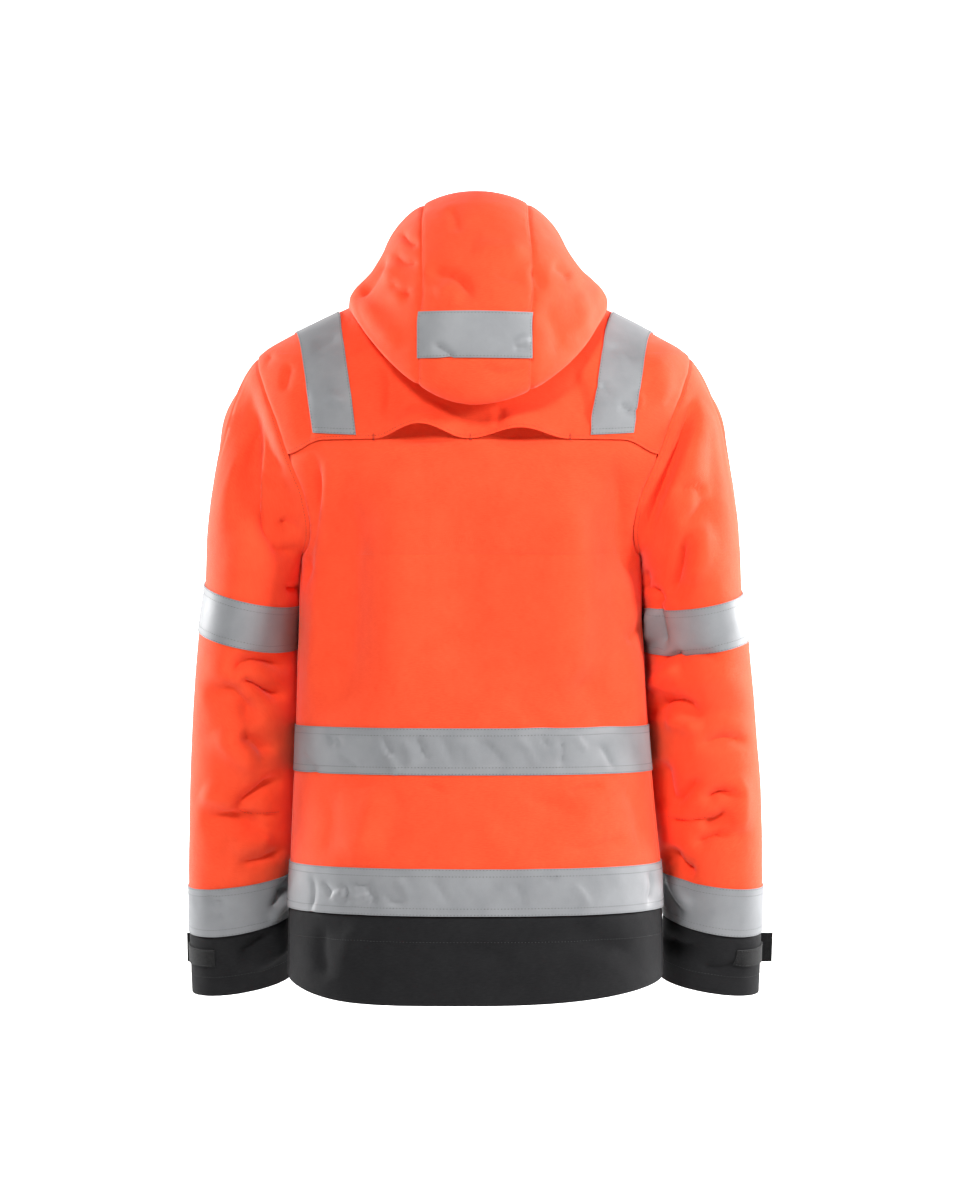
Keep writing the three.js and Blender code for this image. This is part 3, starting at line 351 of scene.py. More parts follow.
def length_along(spot, axis):
    """The distance along each line of a grid from its first point."""
    steps = np.linalg.norm(np.diff(spot, axis=axis), axis=-1)
    total = np.cumsum(steps, axis=axis)
    pad = [(1, 0), (0, 0)] if axis == 0 else [(0, 0), (1, 0)]
    return np.pad(total, pad)


# Creases are placed as the camera sees them, in pixels of its 960 by 1200 picture, also those of the front.
VIEW_DISTANCE = 3500
VIEW_Z = -348
PIXEL = 1.1  # millimetres in the jacket's middle plane
PICTURE_X, PICTURE_Y = 477, 600  # where the picture shows the origin's plane and the camera's height
PATH_STEPS = 7


def seen_place(spot):
    """Where the picture shows a point, or would show it from the front."""
    scale = VIEW_DISTANCE / (VIEW_DISTANCE - np.abs(spot[..., 1])) / PIXEL
    return PICTURE_X - spot[..., 0] * scale, PICTURE_Y - (spot[..., 2] - VIEW_Z) * scale


def rounded_path(points):
    """A Catmull-Rom curve through a few points."""
    p = np.array(points, float)
    if len(p) == 2:
        return np.linspace(p[0], p[1], 5)
    ends = np.vstack([2 * p[0] - p[1], p, 2 * p[-1] - p[-2]])
    t = np.linspace(0, 1, PATH_STEPS, endpoint=False)[:, None]
    curve = [
        0.5 * (2 * b + (c - a) * t + (2 * a - 5 * b + 4 * c - d) * t**2 + (3 * b - a - 3 * c + d) * t**3)
        for a, b, c, d in zip(ends, ends[1:], ends[2:], ends[3:])
    ]
    return np.vstack([*curve, p[-1:]])


CREASE_DEPTH = 2.0  # how much deeper every crease is made than its table says
STEEPEST = 2.6  # the most height for a crease's narrower width
CREASE_REACH = 3  # in widths
CREST_ROUND, CREST_LEVEL = 0.02, 0.14


def crease_lift(creases, u, v):
    """How far creases lift the cloth, in millimetres.

    Each is a path, its width on the left of a path that leads down, its width on the right, its height (below
    0 in a trough) and how crisp its crest is, from 1 to 2.
    """
    lift = np.zeros(u.shape)
    for path, left, right, height, crisp in creases:
        line = rounded_path(path)
        reach = CREASE_REACH * max(left, right)
        low, high = line.min(0) - reach, line.max(0) + reach
        near = (u > low[0]) & (u < high[0]) & (v > low[1]) & (v < high[1])
        if not near.any():
            continue
        height = math.copysign(min(abs(height) * CREASE_DEPTH, STEEPEST * min(left, right)), height)
        spots = np.stack([u[near], v[near]], axis=-1)[:, None]
        start, run = line[:-1], np.diff(line, axis=0)
        length = np.linalg.norm(run, axis=1)
        t = np.clip(((spots - start) * run).sum(-1) / length**2, 0, 1)
        away = spots - (start + t[..., None] * run)
        distance = np.linalg.norm(away, axis=-1)
        k = distance.argmin(1)
        row = np.arange(len(k))
        side = run[k, 0] * away[row, k, 1] - run[k, 1] * away[row, k, 0]
        along = (np.append(0, np.cumsum(length))[k] + t[row, k] * length[k]) / length.sum()
        ends = smooth(along, 0, 0.3) * (1 - smooth(along, 0.7, 1))
        width = np.where(side > 0, left, right)
        rounded = np.sqrt((distance[row, k] / width) ** 2 + CREST_ROUND) - CREST_LEVEL
        lift[near] += height * ends * np.exp(-(np.maximum(rounded, 0) ** crisp))
    return lift


SEED, RANDOM_COUNT = 11, 4096
RANDOM = np.random.default_rng(SEED).uniform(-1, 1, RANDOM_COUNT)
CELL_KEYS = (73856093, 19349663, 83492791)


def noise(spot, size):
    """Smooth value noise from -1 to 1, with features about as large as size."""
    p = spot / size
    cell = np.floor(p).astype(np.int64)
    t = p - cell
    t = t * t * (3 - 2 * t)
    total = 0
    for corner in np.ndindex(2, 2, 2):
        c = cell + np.array(corner)
        key = np.bitwise_xor.reduce(c * np.array(CELL_KEYS), axis=-1)
        weight = np.prod(np.where(np.array(corner) == 1, t, 1 - t), axis=-1)
        total = total + weight * RANDOM[key % len(RANDOM)]
    return total


# The body's creases at the back
BODY_BACK = [
    # the long sharp valley down the left half, and the broad swells beside it
    ([(336, 456), (346, 488), (350, 526), (348, 565), (348, 612), (344, 660), (338, 724)], 26, 24, -7.0, 1.1),
    ([(392, 462), (394, 560), (392, 640), (388, 720)], 18, 26, 1.8, 2),
    ([(466, 456), (460, 560), (468, 706)], 26, 30, -2.4, 1.8),
    ([(560, 458), (572, 540), (574, 620), (564, 712)], 34, 22, 7.2, 1.6),
    ([(320, 560), (317, 620), (312, 720)], 9, 15, 3.6, 1.5),
    # the fold at the right side, and the pull from the side seam
    ([(614, 448), (622, 490), (627, 530), (632, 600)], 20, 14, -6.0, 1.15),
    ([(648, 620), (638, 630), (626, 646)], 7, 5, -2.6, 1.3),
    ([(627, 646), (634, 690), (641, 730)], 8, 14, 2.4, 1.4),
    ([(572, 668), (596, 700), (620, 730)], 15, 13, -3.0, 1.8),
    ([(508, 690), (530, 716), (560, 728)], 9, 9, -1.4, 1.8),
    # the deep valley between the back and the left armhole, and the ridge beside it
    ([(311, 446), (318, 474), (315, 515), (308, 556), (301, 598)], 6, 5, -8, 1.2),
    ([(325, 452), (326, 490), (321, 530), (313, 590)], 6, 14, 4.0, 1.4),
    ([(303, 380), (306, 415), (311, 446)], 6, 4, -3.2, 1.4),
    # the yoke
    ([(383, 356), (389, 390), (384, 428)], 5, 13, -3.4, 1.4),
    ([(571, 366), (584, 396), (588, 432)], 13, 5, -3.4, 1.4),
    ([(498, 404), (500, 418), (497, 432)], 4, 4, -1.5, 1.5),
    ([(291, 362), (287, 378), (284, 394)], 3, 4, -2.2, 1.3),
    ([(274, 352), (268, 362), (263, 372)], 3, 4, -1.8, 1.3),
    ([(666, 396), (672, 404), (680, 414)], 4, 4, -1.6, 1.4),
    ([(652, 352), (664, 380), (669, 410)], 12, 12, 1.8, 1.8),
    # under the waist tape and above the low one
    ([(322, 784), (332, 815), (326, 862)], 8, 10, -2.0, 1.6),
    ([(374, 782), (366, 824), (350, 866)], 12, 10, 2.0, 1.6),
    ([(402, 786), (394, 820), (380, 864)], 9, 12, -1.6, 1.6),
    ([(318, 784), (346, 787), (386, 786)], 3, 3, -1.0, 1.4),
    ([(420, 784), (432, 787), (446, 796)], 3, 3, -1.2, 1.4),
    ([(520, 790), (548, 806), (590, 818)], 8, 10, -2.0, 1.7),
    ([(566, 795), (584, 788), (606, 786)], 4, 3, -1.6, 1.4),
    ([(560, 850), (596, 846), (634, 836)], 5, 5, -1.4, 1.5),
    ([(470, 822), (500, 842), (540, 864)], 12, 12, 1.4, 1.8),
    ([(622, 782), (636, 812), (640, 850)], 8, 8, -1.8, 1.6),
    # the hem
    ([(326, 922), (322, 948), (328, 984)], 8, 7, -2.2, 1.6),
    ([(372, 918), (352, 940), (342, 976)], 10, 9, 1.8, 1.7),
    ([(430, 960), (470, 950), (520, 962)], 9, 8, -1.6, 1.7),
    ([(560, 920), (600, 942), (640, 950)], 12, 9, -1.8, 1.7),
]

BODY_FRONT = [
    ([(360, 400), (352, 480), (358, 560), (350, 700)], 26, 18, 5, 1.4),
    ([(400, 430), (404, 540), (398, 700)], 16, 20, -3.2, 1.7),
    ([(300, 470), (312, 520), (308, 600)], 8, 10, -5, 1.4),
    ([(590, 392), (600, 470), (594, 560), (604, 706)], 18, 28, 5, 1.4),
    ([(548, 420), (552, 560), (546, 700)], 18, 15, -3.0, 1.7),
    ([(652, 470), (644, 520), (646, 596)], 9, 8, -5, 1.4),
    ([(330, 640), (352, 680), (390, 722)], 10, 12, -2.6, 1.6),
    ([(626, 630), (606, 676), (570, 724)], 12, 10, -2.6, 1.6),
    ([(350, 790), (366, 830), (352, 864)], 9, 9, 2.2, 1.6),
    ([(600, 786), (590, 824), (606, 862)], 9, 9, 2.2, 1.6),
    ([(330, 400), (340, 380), (356, 366)], 5, 5, -2.0, 1.4),
    ([(628, 404), (616, 382), (600, 366)], 5, 5, -2.0, 1.4),
    ([(390, 922), (380, 948), (384, 968)], 9, 9, -1.8, 1.6),
    ([(570, 920), (576, 944), (572, 966)], 9, 9, 1.8, 1.6),
]

SLEEVE_BACK = [
    # left sleeve, from the shoulder down
    (
        [(252, 372), (246, 410), (241, 445), (243, 480), (249, 503), (264, 528), (282, 548), (300, 560)],
        *(9, 26, -8.5, 1.15),
    ),
    ([(259, 424), (270, 448), (286, 478)], 4, 5, -3.2, 1.3),
    ([(266, 388), (272, 420), (288, 462)], 7, 9, 2.0, 1.6),
    ([(262, 472), (276, 482), (298, 484)], 5, 4, -2.0, 1.4),
    ([(282, 520), (292, 527), (303, 528)], 4, 4, -2.4, 1.3),
    ([(270, 549), (286, 553), (304, 548)], 6, 4, -1.8, 1.4),
    ([(284, 589), (293, 588), (305, 586)], 2.6, 2.6, -9, 1.2),
    ([(224, 684), (238, 666), (260, 661), (292, 668)], 4, 6, -4.2, 1.3),
    ([(236, 684), (250, 683), (270, 691), (289, 697)], 6, 5, -4.6, 1.3),
    ([(201, 696), (226, 692), (244, 705), (261, 727)], 8, 7, -4.6, 1.35),
    ([(236, 736), (256, 742), (274, 757)], 7, 6, -4.0, 1.35),
    ([(216, 726), (236, 752), (262, 772)], 9, 9, 2.6, 1.6),
    ([(232, 808), (256, 792), (284, 774)], 5, 5, -4.0, 1.3),
    ([(200, 790), (222, 800), (240, 806)], 8, 8, 2.2, 1.6),
    ([(200, 823), (224, 816), (250, 822), (268, 836)], 7, 6, -4.2, 1.35),
    ([(226, 846), (252, 842), (274, 834)], 8, 7, 2.2, 1.6),
    ([(234, 864), (260, 860), (286, 850)], 4, 5, -2.4, 1.35),
    ([(268, 916), (276, 902), (290, 888)], 3, 3, -2.8, 1.3),
    ([(273, 902), (280, 890), (290, 876)], 2.5, 2.5, -2.0, 1.3),
    ([(266, 926), (274, 914), (288, 904)], 2.5, 3, 1.8, 1.3),
    ([(204, 894), (214, 902), (228, 903)], 3, 3, -1.4, 1.3),
    ([(206, 912), (216, 916), (226, 914)], 3, 3, -1.2, 1.3),
    ([(232, 960), (252, 950), (272, 934)], 5, 6, -3.2, 1.4),
    ([(244, 974), (262, 966), (284, 950)], 5, 5, 2.2, 1.5),
    ([(237, 810), (247, 814), (264, 815), (283, 814)], 1.6, 1.6, -1.6, 1.3),
    # right sleeve
    ([(666, 819), (678, 821), (693, 821), (709, 819)], 1.6, 1.6, -1.6, 1.3),
    ([(694, 386), (686, 422), (673, 457), (663, 483), (651, 513), (640, 548)], 4, 5, -8, 1.2),
    ([(700, 388), (694, 428), (683, 466), (671, 498), (654, 540)], 6, 20, 3.6, 1.5),
    ([(675, 493), (690, 487), (705, 494)], 5, 4, -2.6, 1.4),
    ([(704, 494), (697, 512), (680, 526)], 6, 5, -2.2, 1.4),
    ([(686, 530), (684, 556), (677, 578), (667, 600)], 4, 6, -4.8, 1.3),
    ([(700, 520), (699, 556), (688, 588)], 9, 9, 2.4, 1.6),
    ([(641, 566), (646, 578), (645, 594)], 3, 3, -5, 1.2),
    ([(649, 586), (658, 594), (663, 606)], 3, 3, -5, 1.2),
    ([(655, 594), (660, 620), (667, 654)], 3.5, 4, -6.5, 1.2),
    ([(650, 606), (652, 622), (650, 644)], 3, 3, 2.5, 1.3),
    ([(660, 660), (670, 656), (683, 650)], 3, 3, -3.4, 1.3),
    ([(668, 664), (692, 655), (724, 657)], 4, 6, -2.6, 1.4),
    ([(653, 692), (664, 676), (684, 668)], 7, 6, 3.0, 1.5),
    ([(650, 720), (663, 703), (684, 705), (705, 720)], 7, 5, -6, 1.3),
    ([(664, 722), (684, 722), (700, 734)], 7, 7, 2.6, 1.6),
    ([(694, 748), (724, 739), (754, 744)], 5, 5, -2.6, 1.4),
    ([(660, 756), (667, 788), (671, 814)], 5, 6, -3.6, 1.35),
    ([(671, 810), (688, 792), (702, 776)], 4, 5, -2.6, 1.35),
    ([(700, 803), (720, 793), (742, 796)], 4, 4, -3.2, 1.3),
    ([(698, 824), (716, 820), (731, 810)], 4, 4, -3.2, 1.3),
    ([(736, 770), (741, 800), (738, 840)], 7, 7, 2.2, 1.6),
    ([(690, 847), (710, 838), (733, 834)], 4, 5, -3.2, 1.3),
    ([(670, 846), (679, 866), (700, 876)], 5, 5, -5, 1.3),
    ([(664, 880), (674, 904), (688, 926)], 3, 4, -3.0, 1.3),
    ([(672, 880), (682, 898), (696, 912)], 4, 4, 1.8, 1.4),
    ([(668, 944), (684, 952), (704, 950)], 5, 5, -2.4, 1.4),
    ([(700, 968), (722, 974), (748, 966)], 5, 5, -2.0, 1.5),
]

SLEEVE_FRONT = [
    ([(250, 376), (244, 430), (252, 500), (284, 560)], 14, 8, 6, 1.3),
    ([(284, 440), (278, 500), (296, 548)], 5, 6, -4, 1.3),
    ([(222, 668), (250, 676), (290, 664)], 6, 5, -5, 1.3),
    ([(206, 706), (240, 712), (284, 696)], 7, 6, -5.5, 1.3),
    ([(212, 742), (246, 752), (280, 738)], 7, 6, -5, 1.3),
    ([(206, 792), (236, 800), (276, 786)], 8, 7, 3, 1.5),
    ([(210, 836), (240, 846), (276, 838)], 6, 6, -3.5, 1.4),
    ([(240, 944), (256, 960), (276, 968)], 5, 5, -2.4, 1.4),
    ([(704, 380), (700, 440), (690, 500), (660, 560)], 8, 15, 6, 1.3),
    ([(664, 450), (668, 500), (652, 546)], 6, 5, -4, 1.3),
    ([(656, 664), (690, 674), (726, 662)], 6, 5, -5, 1.3),
    ([(660, 704), (700, 712), (744, 700)], 7, 6, -5.5, 1.3),
    ([(662, 744), (700, 752), (742, 742)], 7, 6, -5, 1.3),
    ([(668, 800), (704, 806), (744, 792)], 8, 7, 3, 1.5),
    ([(668, 842), (700, 848), (740, 836)], 6, 6, -3.5, 1.4),
    ([(676, 946), (692, 960), (716, 966)], 5, 5, -2.4, 1.4),
]

HOOD_BACK = [
    ([(423, 279), (436, 272), (452, 274), (465, 284), (475, 302)], 9, 5, -4.6, 1.35),
    ([(436, 300), (450, 290), (462, 304)], 9, 8, 2.4, 1.6),
    ([(392, 278), (398, 290), (414, 297)], 4, 4, -3.4, 1.3),
    ([(386, 262), (394, 282), (404, 306)], 7, 7, 2.6, 1.5),
    ([(400, 230), (410, 242), (421, 245)], 3, 3, -2.6, 1.3),
    ([(393, 253), (406, 262), (421, 263)], 4, 3, -2.6, 1.3),
    ([(388, 252), (379, 270), (369, 285), (354, 303)], 4, 5, -4.0, 1.3),
    ([(362, 296), (376, 322), (404, 348)], 9, 9, 2.4, 1.7),
    ([(449, 206), (455, 220), (457, 236)], 6, 6, -1.6, 1.6),
    ([(533, 264), (538, 277), (542, 291)], 4, 4, -3.0, 1.35),
    ([(490, 270), (508, 276), (527, 280)], 4, 4, -2.0, 1.4),
    ([(550, 266), (560, 270), (571, 280)], 4, 4, -2.0, 1.4),
    ([(470, 246), (500, 252), (530, 250)], 9, 9, 1.8, 1.7),
    ([(480, 366), (504, 374), (532, 366)], 6, 6, -1.8, 1.6),
    ([(540, 300), (556, 330), (560, 362)], 9, 9, -1.8, 1.7),
    ([(574, 290), (584, 314), (580, 340)], 8, 8, 1.8, 1.7),
    # the patch
    ([(432, 344), (446, 352), (458, 360)], 3, 3, -1.2, 1.4),
    ([(514, 344), (522, 340), (530, 342)], 2.4, 2.4, 1.2, 1.4),
    ([(512, 350), (520, 348), (530, 350)], 2, 2, -1.0, 1.4),
]

TAPES_BACK = [
    # the waist tape
    ([(329, 733), (333, 740), (336, 747)], 1.6, 1.6, -1.3, 1.3),
    ([(336, 733), (340, 741), (344, 748)], 1.6, 1.6, -1.3, 1.3),
    ([(345, 734), (349, 740), (352, 747)], 1.6, 1.6, 1.0, 1.3),
    ([(382, 733), (388, 746), (392, 760)], 2, 2, -1.3, 1.4),
    ([(300, 750), (312, 764), (324, 775)], 2.4, 2.4, -1.4, 1.4),
    ([(336, 752), (352, 762), (362, 772)], 2.6, 2.6, -1.2, 1.4),
    ([(384, 750), (392, 762), (398, 774)], 2, 2, 1.2, 1.4),
    ([(402, 736), (410, 752), (414, 772)], 2.6, 2.6, 1.2, 1.4),
    ([(417, 733), (421, 747), (429, 764)], 1.8, 2.4, -1.6, 1.3),
    ([(440, 733), (448, 752), (452, 774)], 2.4, 2.4, -1.2, 1.4),
    ([(462, 736), (472, 752), (474, 772)], 2.6, 2.6, 1.4, 1.4),
    ([(478, 738), (494, 752), (506, 768)], 3, 3, -1.4, 1.4),
    ([(514, 736), (528, 750), (534, 770)], 2.4, 3, 1.4, 1.4),
    ([(540, 734), (544, 742), (550, 748)], 1.6, 1.6, -1.5, 1.3),
    ([(556, 734), (562, 750), (560, 772)], 2.2, 2.6, -1.4, 1.4),
    ([(572, 734), (578, 742), (586, 752)], 2, 2, 1.2, 1.4),
    ([(596, 742), (606, 756), (612, 772)], 3, 3, -1.2, 1.4),
    # the low tape
    ([(322, 880), (330, 888), (334, 900)], 2, 2, -1.6, 1.3),
    ([(332, 900), (340, 894), (350, 892)], 2, 2, 1.6, 1.3),
    ([(342, 880), (348, 892), (344, 906)], 2, 2, -1.6, 1.3),
    ([(352, 878), (360, 886), (372, 882)], 2, 2, -1.4, 1.3),
    ([(356, 904), (364, 897), (376, 899)], 2, 2, 1.8, 1.3),
    ([(372, 876), (370, 890), (378, 908)], 2, 2, -1.6, 1.3),
    ([(386, 894), (394, 902), (406, 900)], 2.4, 2.4, -1.4, 1.3),
    ([(396, 876), (404, 888), (412, 902)], 3, 3, 1.2, 1.4),
    ([(430, 876), (440, 890), (452, 908)], 3, 3, -1.2, 1.4),
    ([(470, 878), (478, 894), (480, 912)], 3, 3, 1.2, 1.4),
    ([(510, 880), (520, 894), (524, 912)], 3, 3, -1.2, 1.4),
    ([(546, 876), (550, 882), (556, 876)], 2, 2, -1.4, 1.3),
    ([(570, 884), (582, 896), (590, 910)], 3, 3, 1.0, 1.4),
    ([(312, 872), (316, 890), (312, 914)], 2, 2, -1.4, 1.3),
    ([(646, 868), (650, 886), (646, 908)], 2, 2.4, -1.8, 1.3),
    ([(656, 864), (659, 882), (655, 904)], 2, 2, 1.4, 1.3),
    # the shoulder tapes
    ([(328, 392), (336, 400), (350, 404)], 5, 5, 1.4, 1.6),
    ([(312, 350), (330, 344), (340, 336)], 4, 4, -1.2, 1.5),
    ([(598, 384), (606, 390), (612, 396)], 2, 2, -1.5, 1.3),
    ([(618, 404), (626, 410), (636, 414)], 2.4, 2, -1.6, 1.3),
    ([(602, 352), (620, 350), (640, 364)], 5, 5, -1.6, 1.5),
    ([(634, 392), (640, 400), (638, 410)], 2, 2, 1.2, 1.3),
]


CHEST_SWAY, ARMHOLE_POINTS = 3, 64


def from_armhole(spot):
    """How far points are from the nearer armhole seam."""
    line = armhole_point(np.linspace(0, 2 * math.pi, ARMHOLE_POINTS))
    near = np.stack([np.abs(spot[..., 0] - CHEST_SWAY), spot[..., 1], spot[..., 2]], axis=-1)
    return np.linalg.norm(near[..., None, :] - line, axis=-1).min(-1)


SIDEWAYS, SQUARELY = 0.08, 0.4  # creases fade on cloth that faces the side
ARMHOLE_PLAIN, ARMHOLE_CREASED = 1, 26  # and near the armhole seam
RUMPLES = [(1.2, 0, 46), (0.4, 300, 19)]  # height, place in the noise and size
PUCKER_PLACE, PUCKER_SIZE = 900, 9
SEAM_DEEP, SEAM_NARROW, PUCKER_DEEP, PUCKER_WIDE = 1.5, 2.4, 0.8, 8


def cloth_lift(spot, normals, seams, creases, rumple):
    """How far cloth stands out from its plain form: creases, some unevenness, and the dip at each seam."""
    u, v = seen_place(spot)
    back = normals[..., 1] >= 0
    back_creases, front_creases = creases
    lift = np.where(back, crease_lift(back_creases, u, v), crease_lift(front_creases, u, v))
    lift = lift * smooth(np.abs(normals[..., 1]), SIDEWAYS, SQUARELY)
    lift = lift * smooth(from_armhole(spot), ARMHOLE_PLAIN, ARMHOLE_CREASED)
    lift = lift + rumple * sum(high * noise(spot + place, size) for high, place, size in RUMPLES)
    for axis, last in seams:
        grid = np.flip(spot, axis) if last else spot
        away = length_along(grid, axis)
        if last:
            away = np.flip(away, axis)
        pucker = 0.5 + 0.5 * noise(spot + PUCKER_PLACE, PUCKER_SIZE)
        lift = lift - SEAM_DEEP * np.exp(-((away / SEAM_NARROW) ** 2))
        lift = lift - PUCKER_DEEP * pucker * np.exp(-((away / PUCKER_WIDE) ** 2))
    return lift


BROADER, DEEPER = 1.15, 1.6


def fuller(creases):
    """The sleeves' creases, broader and deeper than their tables say."""
    return [
        (path, left * BROADER, right * BROADER, height * DEEPER, crisp)
        for path, left, right, height, crisp in creases
    ]


FIRST_ROW, LAST_ROW, FIRST_COLUMN, LAST_COLUMN = (0, False), (0, True), (1, False), (1, True)
BODY_ALL = (BODY_BACK + TAPES_BACK, BODY_FRONT)
SLEEVE_ALL = (fuller(SLEEVE_BACK), fuller(SLEEVE_FRONT))
HOOD_ALL = (HOOD_BACK, [])


def raised(net, seams=(), creases=BODY_ALL, rumple=0.5):
    """The net's points with sway, creases and seams, and the normals there."""
    spot = swayed(net.spot)
    normals = net.normals(spot)
    lift = cloth_lift(spot, normals, seams, creases, rumple) + net.shift
    spot = spot + normals * lift[..., None]
    return spot, net.normals(spot)


SHARP = math.radians(60)


def wall_mesh(name, inner, outer, closed):
    """A closed wall between two grids of points, with a UV map in metres along the cloth."""
    rows, columns = inner.shape[:2]
    spans = columns if closed else columns - 1
    wide = spans + 1
    index = np.arange(rows * wide).reshape(rows, wide)
    a, b, c, d = index[:-1, :-1], index[:-1, 1:], index[1:, 1:], index[1:, :-1]
    top = rows * wide
    first, last = index[0], index[-1]

    def quads(*corners):
        return np.stack([each.reshape(-1) for each in corners], axis=-1)

    faces = [
        quads(a + top, b + top, c + top, d + top),
        quads(a, d, c, b),
        quads(first[:-1], first[1:], first[1:] + top, first[:-1] + top),
        quads(last[1:], last[:-1], last[:-1] + top, last[1:] + top),
    ]
    if not closed:
        left, right = index[:, 0], index[:, -1]
        faces.append(quads(left[1:], left[:-1], left[:-1] + top, left[1:] + top))
        faces.append(quads(right[:-1], right[1:], right[1:] + top, right[:-1] + top))
    faces = np.concatenate(faces)

    layer, rest = np.divmod(faces, top)
    row, column = np.divmod(rest, wide)
    real = layer * rows * columns + row * columns + column % columns
    spots = np.concatenate([inner.reshape(-1, 3), outer.reshape(-1, 3)])
    corner = spots[real]
    volume = np.einsum("ij,ij->", corner[:, 0], np.cross(corner[:, 1], corner[:, 2]))
    volume += np.einsum("ij,ij->", corner[:, 0], np.cross(corner[:, 2], corner[:, 3]))
    if volume < 0:
        real, row, column = real[:, ::-1], row[:, ::-1], column[:, ::-1]

    wrapped = np.concatenate([outer, outer[:, :1]], axis=1) if closed else outer
    across, down = length_along(wrapped, 1), length_along(wrapped, 0)
    uv = np.stack([across[row, column], down[row, column]], axis=-1) * MM

    mesh = bpy.data.meshes.new(name)
    mesh.from_pydata((spots * MM).tolist(), [], real.tolist())
    mesh.uv_layers.new(name="cloth").data.foreach_set("uv", uv.reshape(-1))
    mesh.shade_smooth()
    mesh.set_sharp_from_angle(angle=SHARP)
    return mesh


MATERIALS = {}
PIECES = {}


def add_object(name, mesh, material):
    obj = bpy.data.objects.new(name, mesh)
    bpy.context.scene.collection.objects.link(obj)
    mesh.materials.append(MATERIALS[material])
    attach(obj, "jacket")
    return obj


def cloth(
    name, material, net, seams=(), creases=BODY_ALL, rumple=0.5, start=0.0, thick=WALL, held="hung", flat=None
):
    """One piece of cloth: a closed wall on its net that stands for its node."""
    spot, normals = raised(net, seams, creases, rumple)
    inner, outer = spot + normals * start, spot + normals * (start + thick)
    obj = add_object(f"cloth_{name}", wall_mesh(name, inner, outer, net.closed), material)
    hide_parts(name)
    middle = (inner + outer) / 2
    if net.closed:
        middle = np.concatenate([middle, middle[:, :1]], axis=1)
    PIECES[name] = {"outer": outer, "normals": normals, "closed": net.closed}


# Panels of the body

ZIP_HALF = 6
ARMHOLE_RADIUS = 90


def back_net(rows, columns, height_of=row_height, edge=None):
    """The back between its side seams, or from a given edge, in rows that are named by their height there."""
    if edge is None:
        edge = edge_angle(rows, 1) + SEAM / 2 / body_at(rows)[0]
    edge = edge[:, None]
    angle = mix(edge, math.pi - edge, columns[None])
    return Net(body(angle, height_of(rows[:, None], angle)))


def front_net(rows, columns, height_of=row_height, edge=None):
    """The left front from the same edges to the zip."""
    if edge is None:
        edge = edge_angle(rows, -1) - SEAM / 2 / body_at(rows)[0]
    middle = angle_at_x(ZIP_HALF, height_of(rows, -QUARTER), -1)
    angle = mix(edge[:, None], middle[:, None], columns[None])
    return Net(body(angle, height_of(rows[:, None], angle)), -1)


def level(z, angle):
    return z + 0 * angle


def armhole_rows(first_turn, last_turn):
    count = round(abs(first_turn - last_turn) * ARMHOLE_RADIUS / STEP)
    return armhole_yz(np.linspace(first_turn, last_turn, count + 1))[1]


LOWER_FROM = HEM_SEAM_Z + SEAM / 2
LOWER_LONG = UNDERARM_Z - HEM_SEAM_Z - SEAM / 2
LOWER = LOWER_FROM + shares(LOWER_LONG, True, False) * LOWER_LONG
BACK_WIDE, FRONT_WIDE = 440, 230
BACK_COLUMNS, FRONT_COLUMNS = shares(BACK_WIDE), shares(FRONT_WIDE)
SHOULDER_ROWS = 40
SHOULDER = np.linspace(TIP_Z, 0, SHOULDER_ROWS)[1:]

# The two open vents under the yoke: from, to, how high its edge rises and how far it bulges
VENTS = [(6, 106, 13, 15), (-102, 4, 9, 12)]
VENT_HEIGHT = 46  # over which the rise and the bulge die out
UNDER_ROWS = [4, 8, 14, 20, 26, 32]  # of the back panel, behind the yoke
UNDER_SHIFT = -(WALL + 0.7)
UNDER_FROM, UNDER_TO, SUNK_TO, UNDER_BULGE = -12, 2, 15, 0.6
YOKE_EDGE_ROWS = [0, 1, 2.4, 5, 9, 13, 17]
YOKE_CLEAR, YOKE_LIFT = 20, 0.6


def vent_share(x):
    rise, bulge = np.zeros(x.shape), np.zeros(x.shape)
    for start, end, high, out in VENTS:
        inside = (x > start) & (x < end)
        bell = np.where(inside, np.sin(np.pi * (x - start) / (end - start)) ** 2, 0)
        rise, bulge = rise + high * bell, bulge + out * bell
    return rise, bulge


def back_panel():
    upper = armhole_rows(math.pi, QUARTER)[1:]
    rows = np.concatenate([LOWER, upper, YOKE_EDGE_Z + np.array(UNDER_ROWS)])
    net = back_net(rows, BACK_COLUMNS)
    under = smooth(rows, YOKE_EDGE_Z + UNDER_FROM, YOKE_EDGE_Z + UNDER_TO)[:, None] * UNDER_SHIFT
    _, bulge = vent_share(net.spot[..., 0])
    sunk = smooth(net.spot[..., 2], YOKE_EDGE_Z + UNDER_TO, YOKE_EDGE_Z + SUNK_TO)
    net.shift = under - UNDER_BULGE * bulge * sunk
    cloth("back_panel", "orange_cloth", net, [FIRST_ROW, FIRST_COLUMN, LAST_COLUMN])


def back_yoke():
    above = armhole_rows(QUARTER, 0)
    above = above[above > YOKE_EDGE_Z + YOKE_CLEAR]
    rows = np.concatenate([YOKE_EDGE_Z + np.array(YOKE_EDGE_ROWS), above, SHOULDER])

    def height_of(z, angle):
        height = row_height(z, angle)
        rise, _ = vent_share(body(angle, height)[..., 0])
        return height + rise * (1 - smooth(z - YOKE_EDGE_Z, 0, VENT_HEIGHT))

    net = back_net(rows, BACK_COLUMNS, height_of)
    _, bulge = vent_share(net.spot[..., 0])
    net.shift = bulge * (1 - smooth(rows[:, None] - YOKE_EDGE_Z, 0, VENT_HEIGHT)) + YOKE_LIFT
    cloth("back_yoke", "orange_cloth", net, [LAST_ROW, FIRST_COLUMN, LAST_COLUMN])


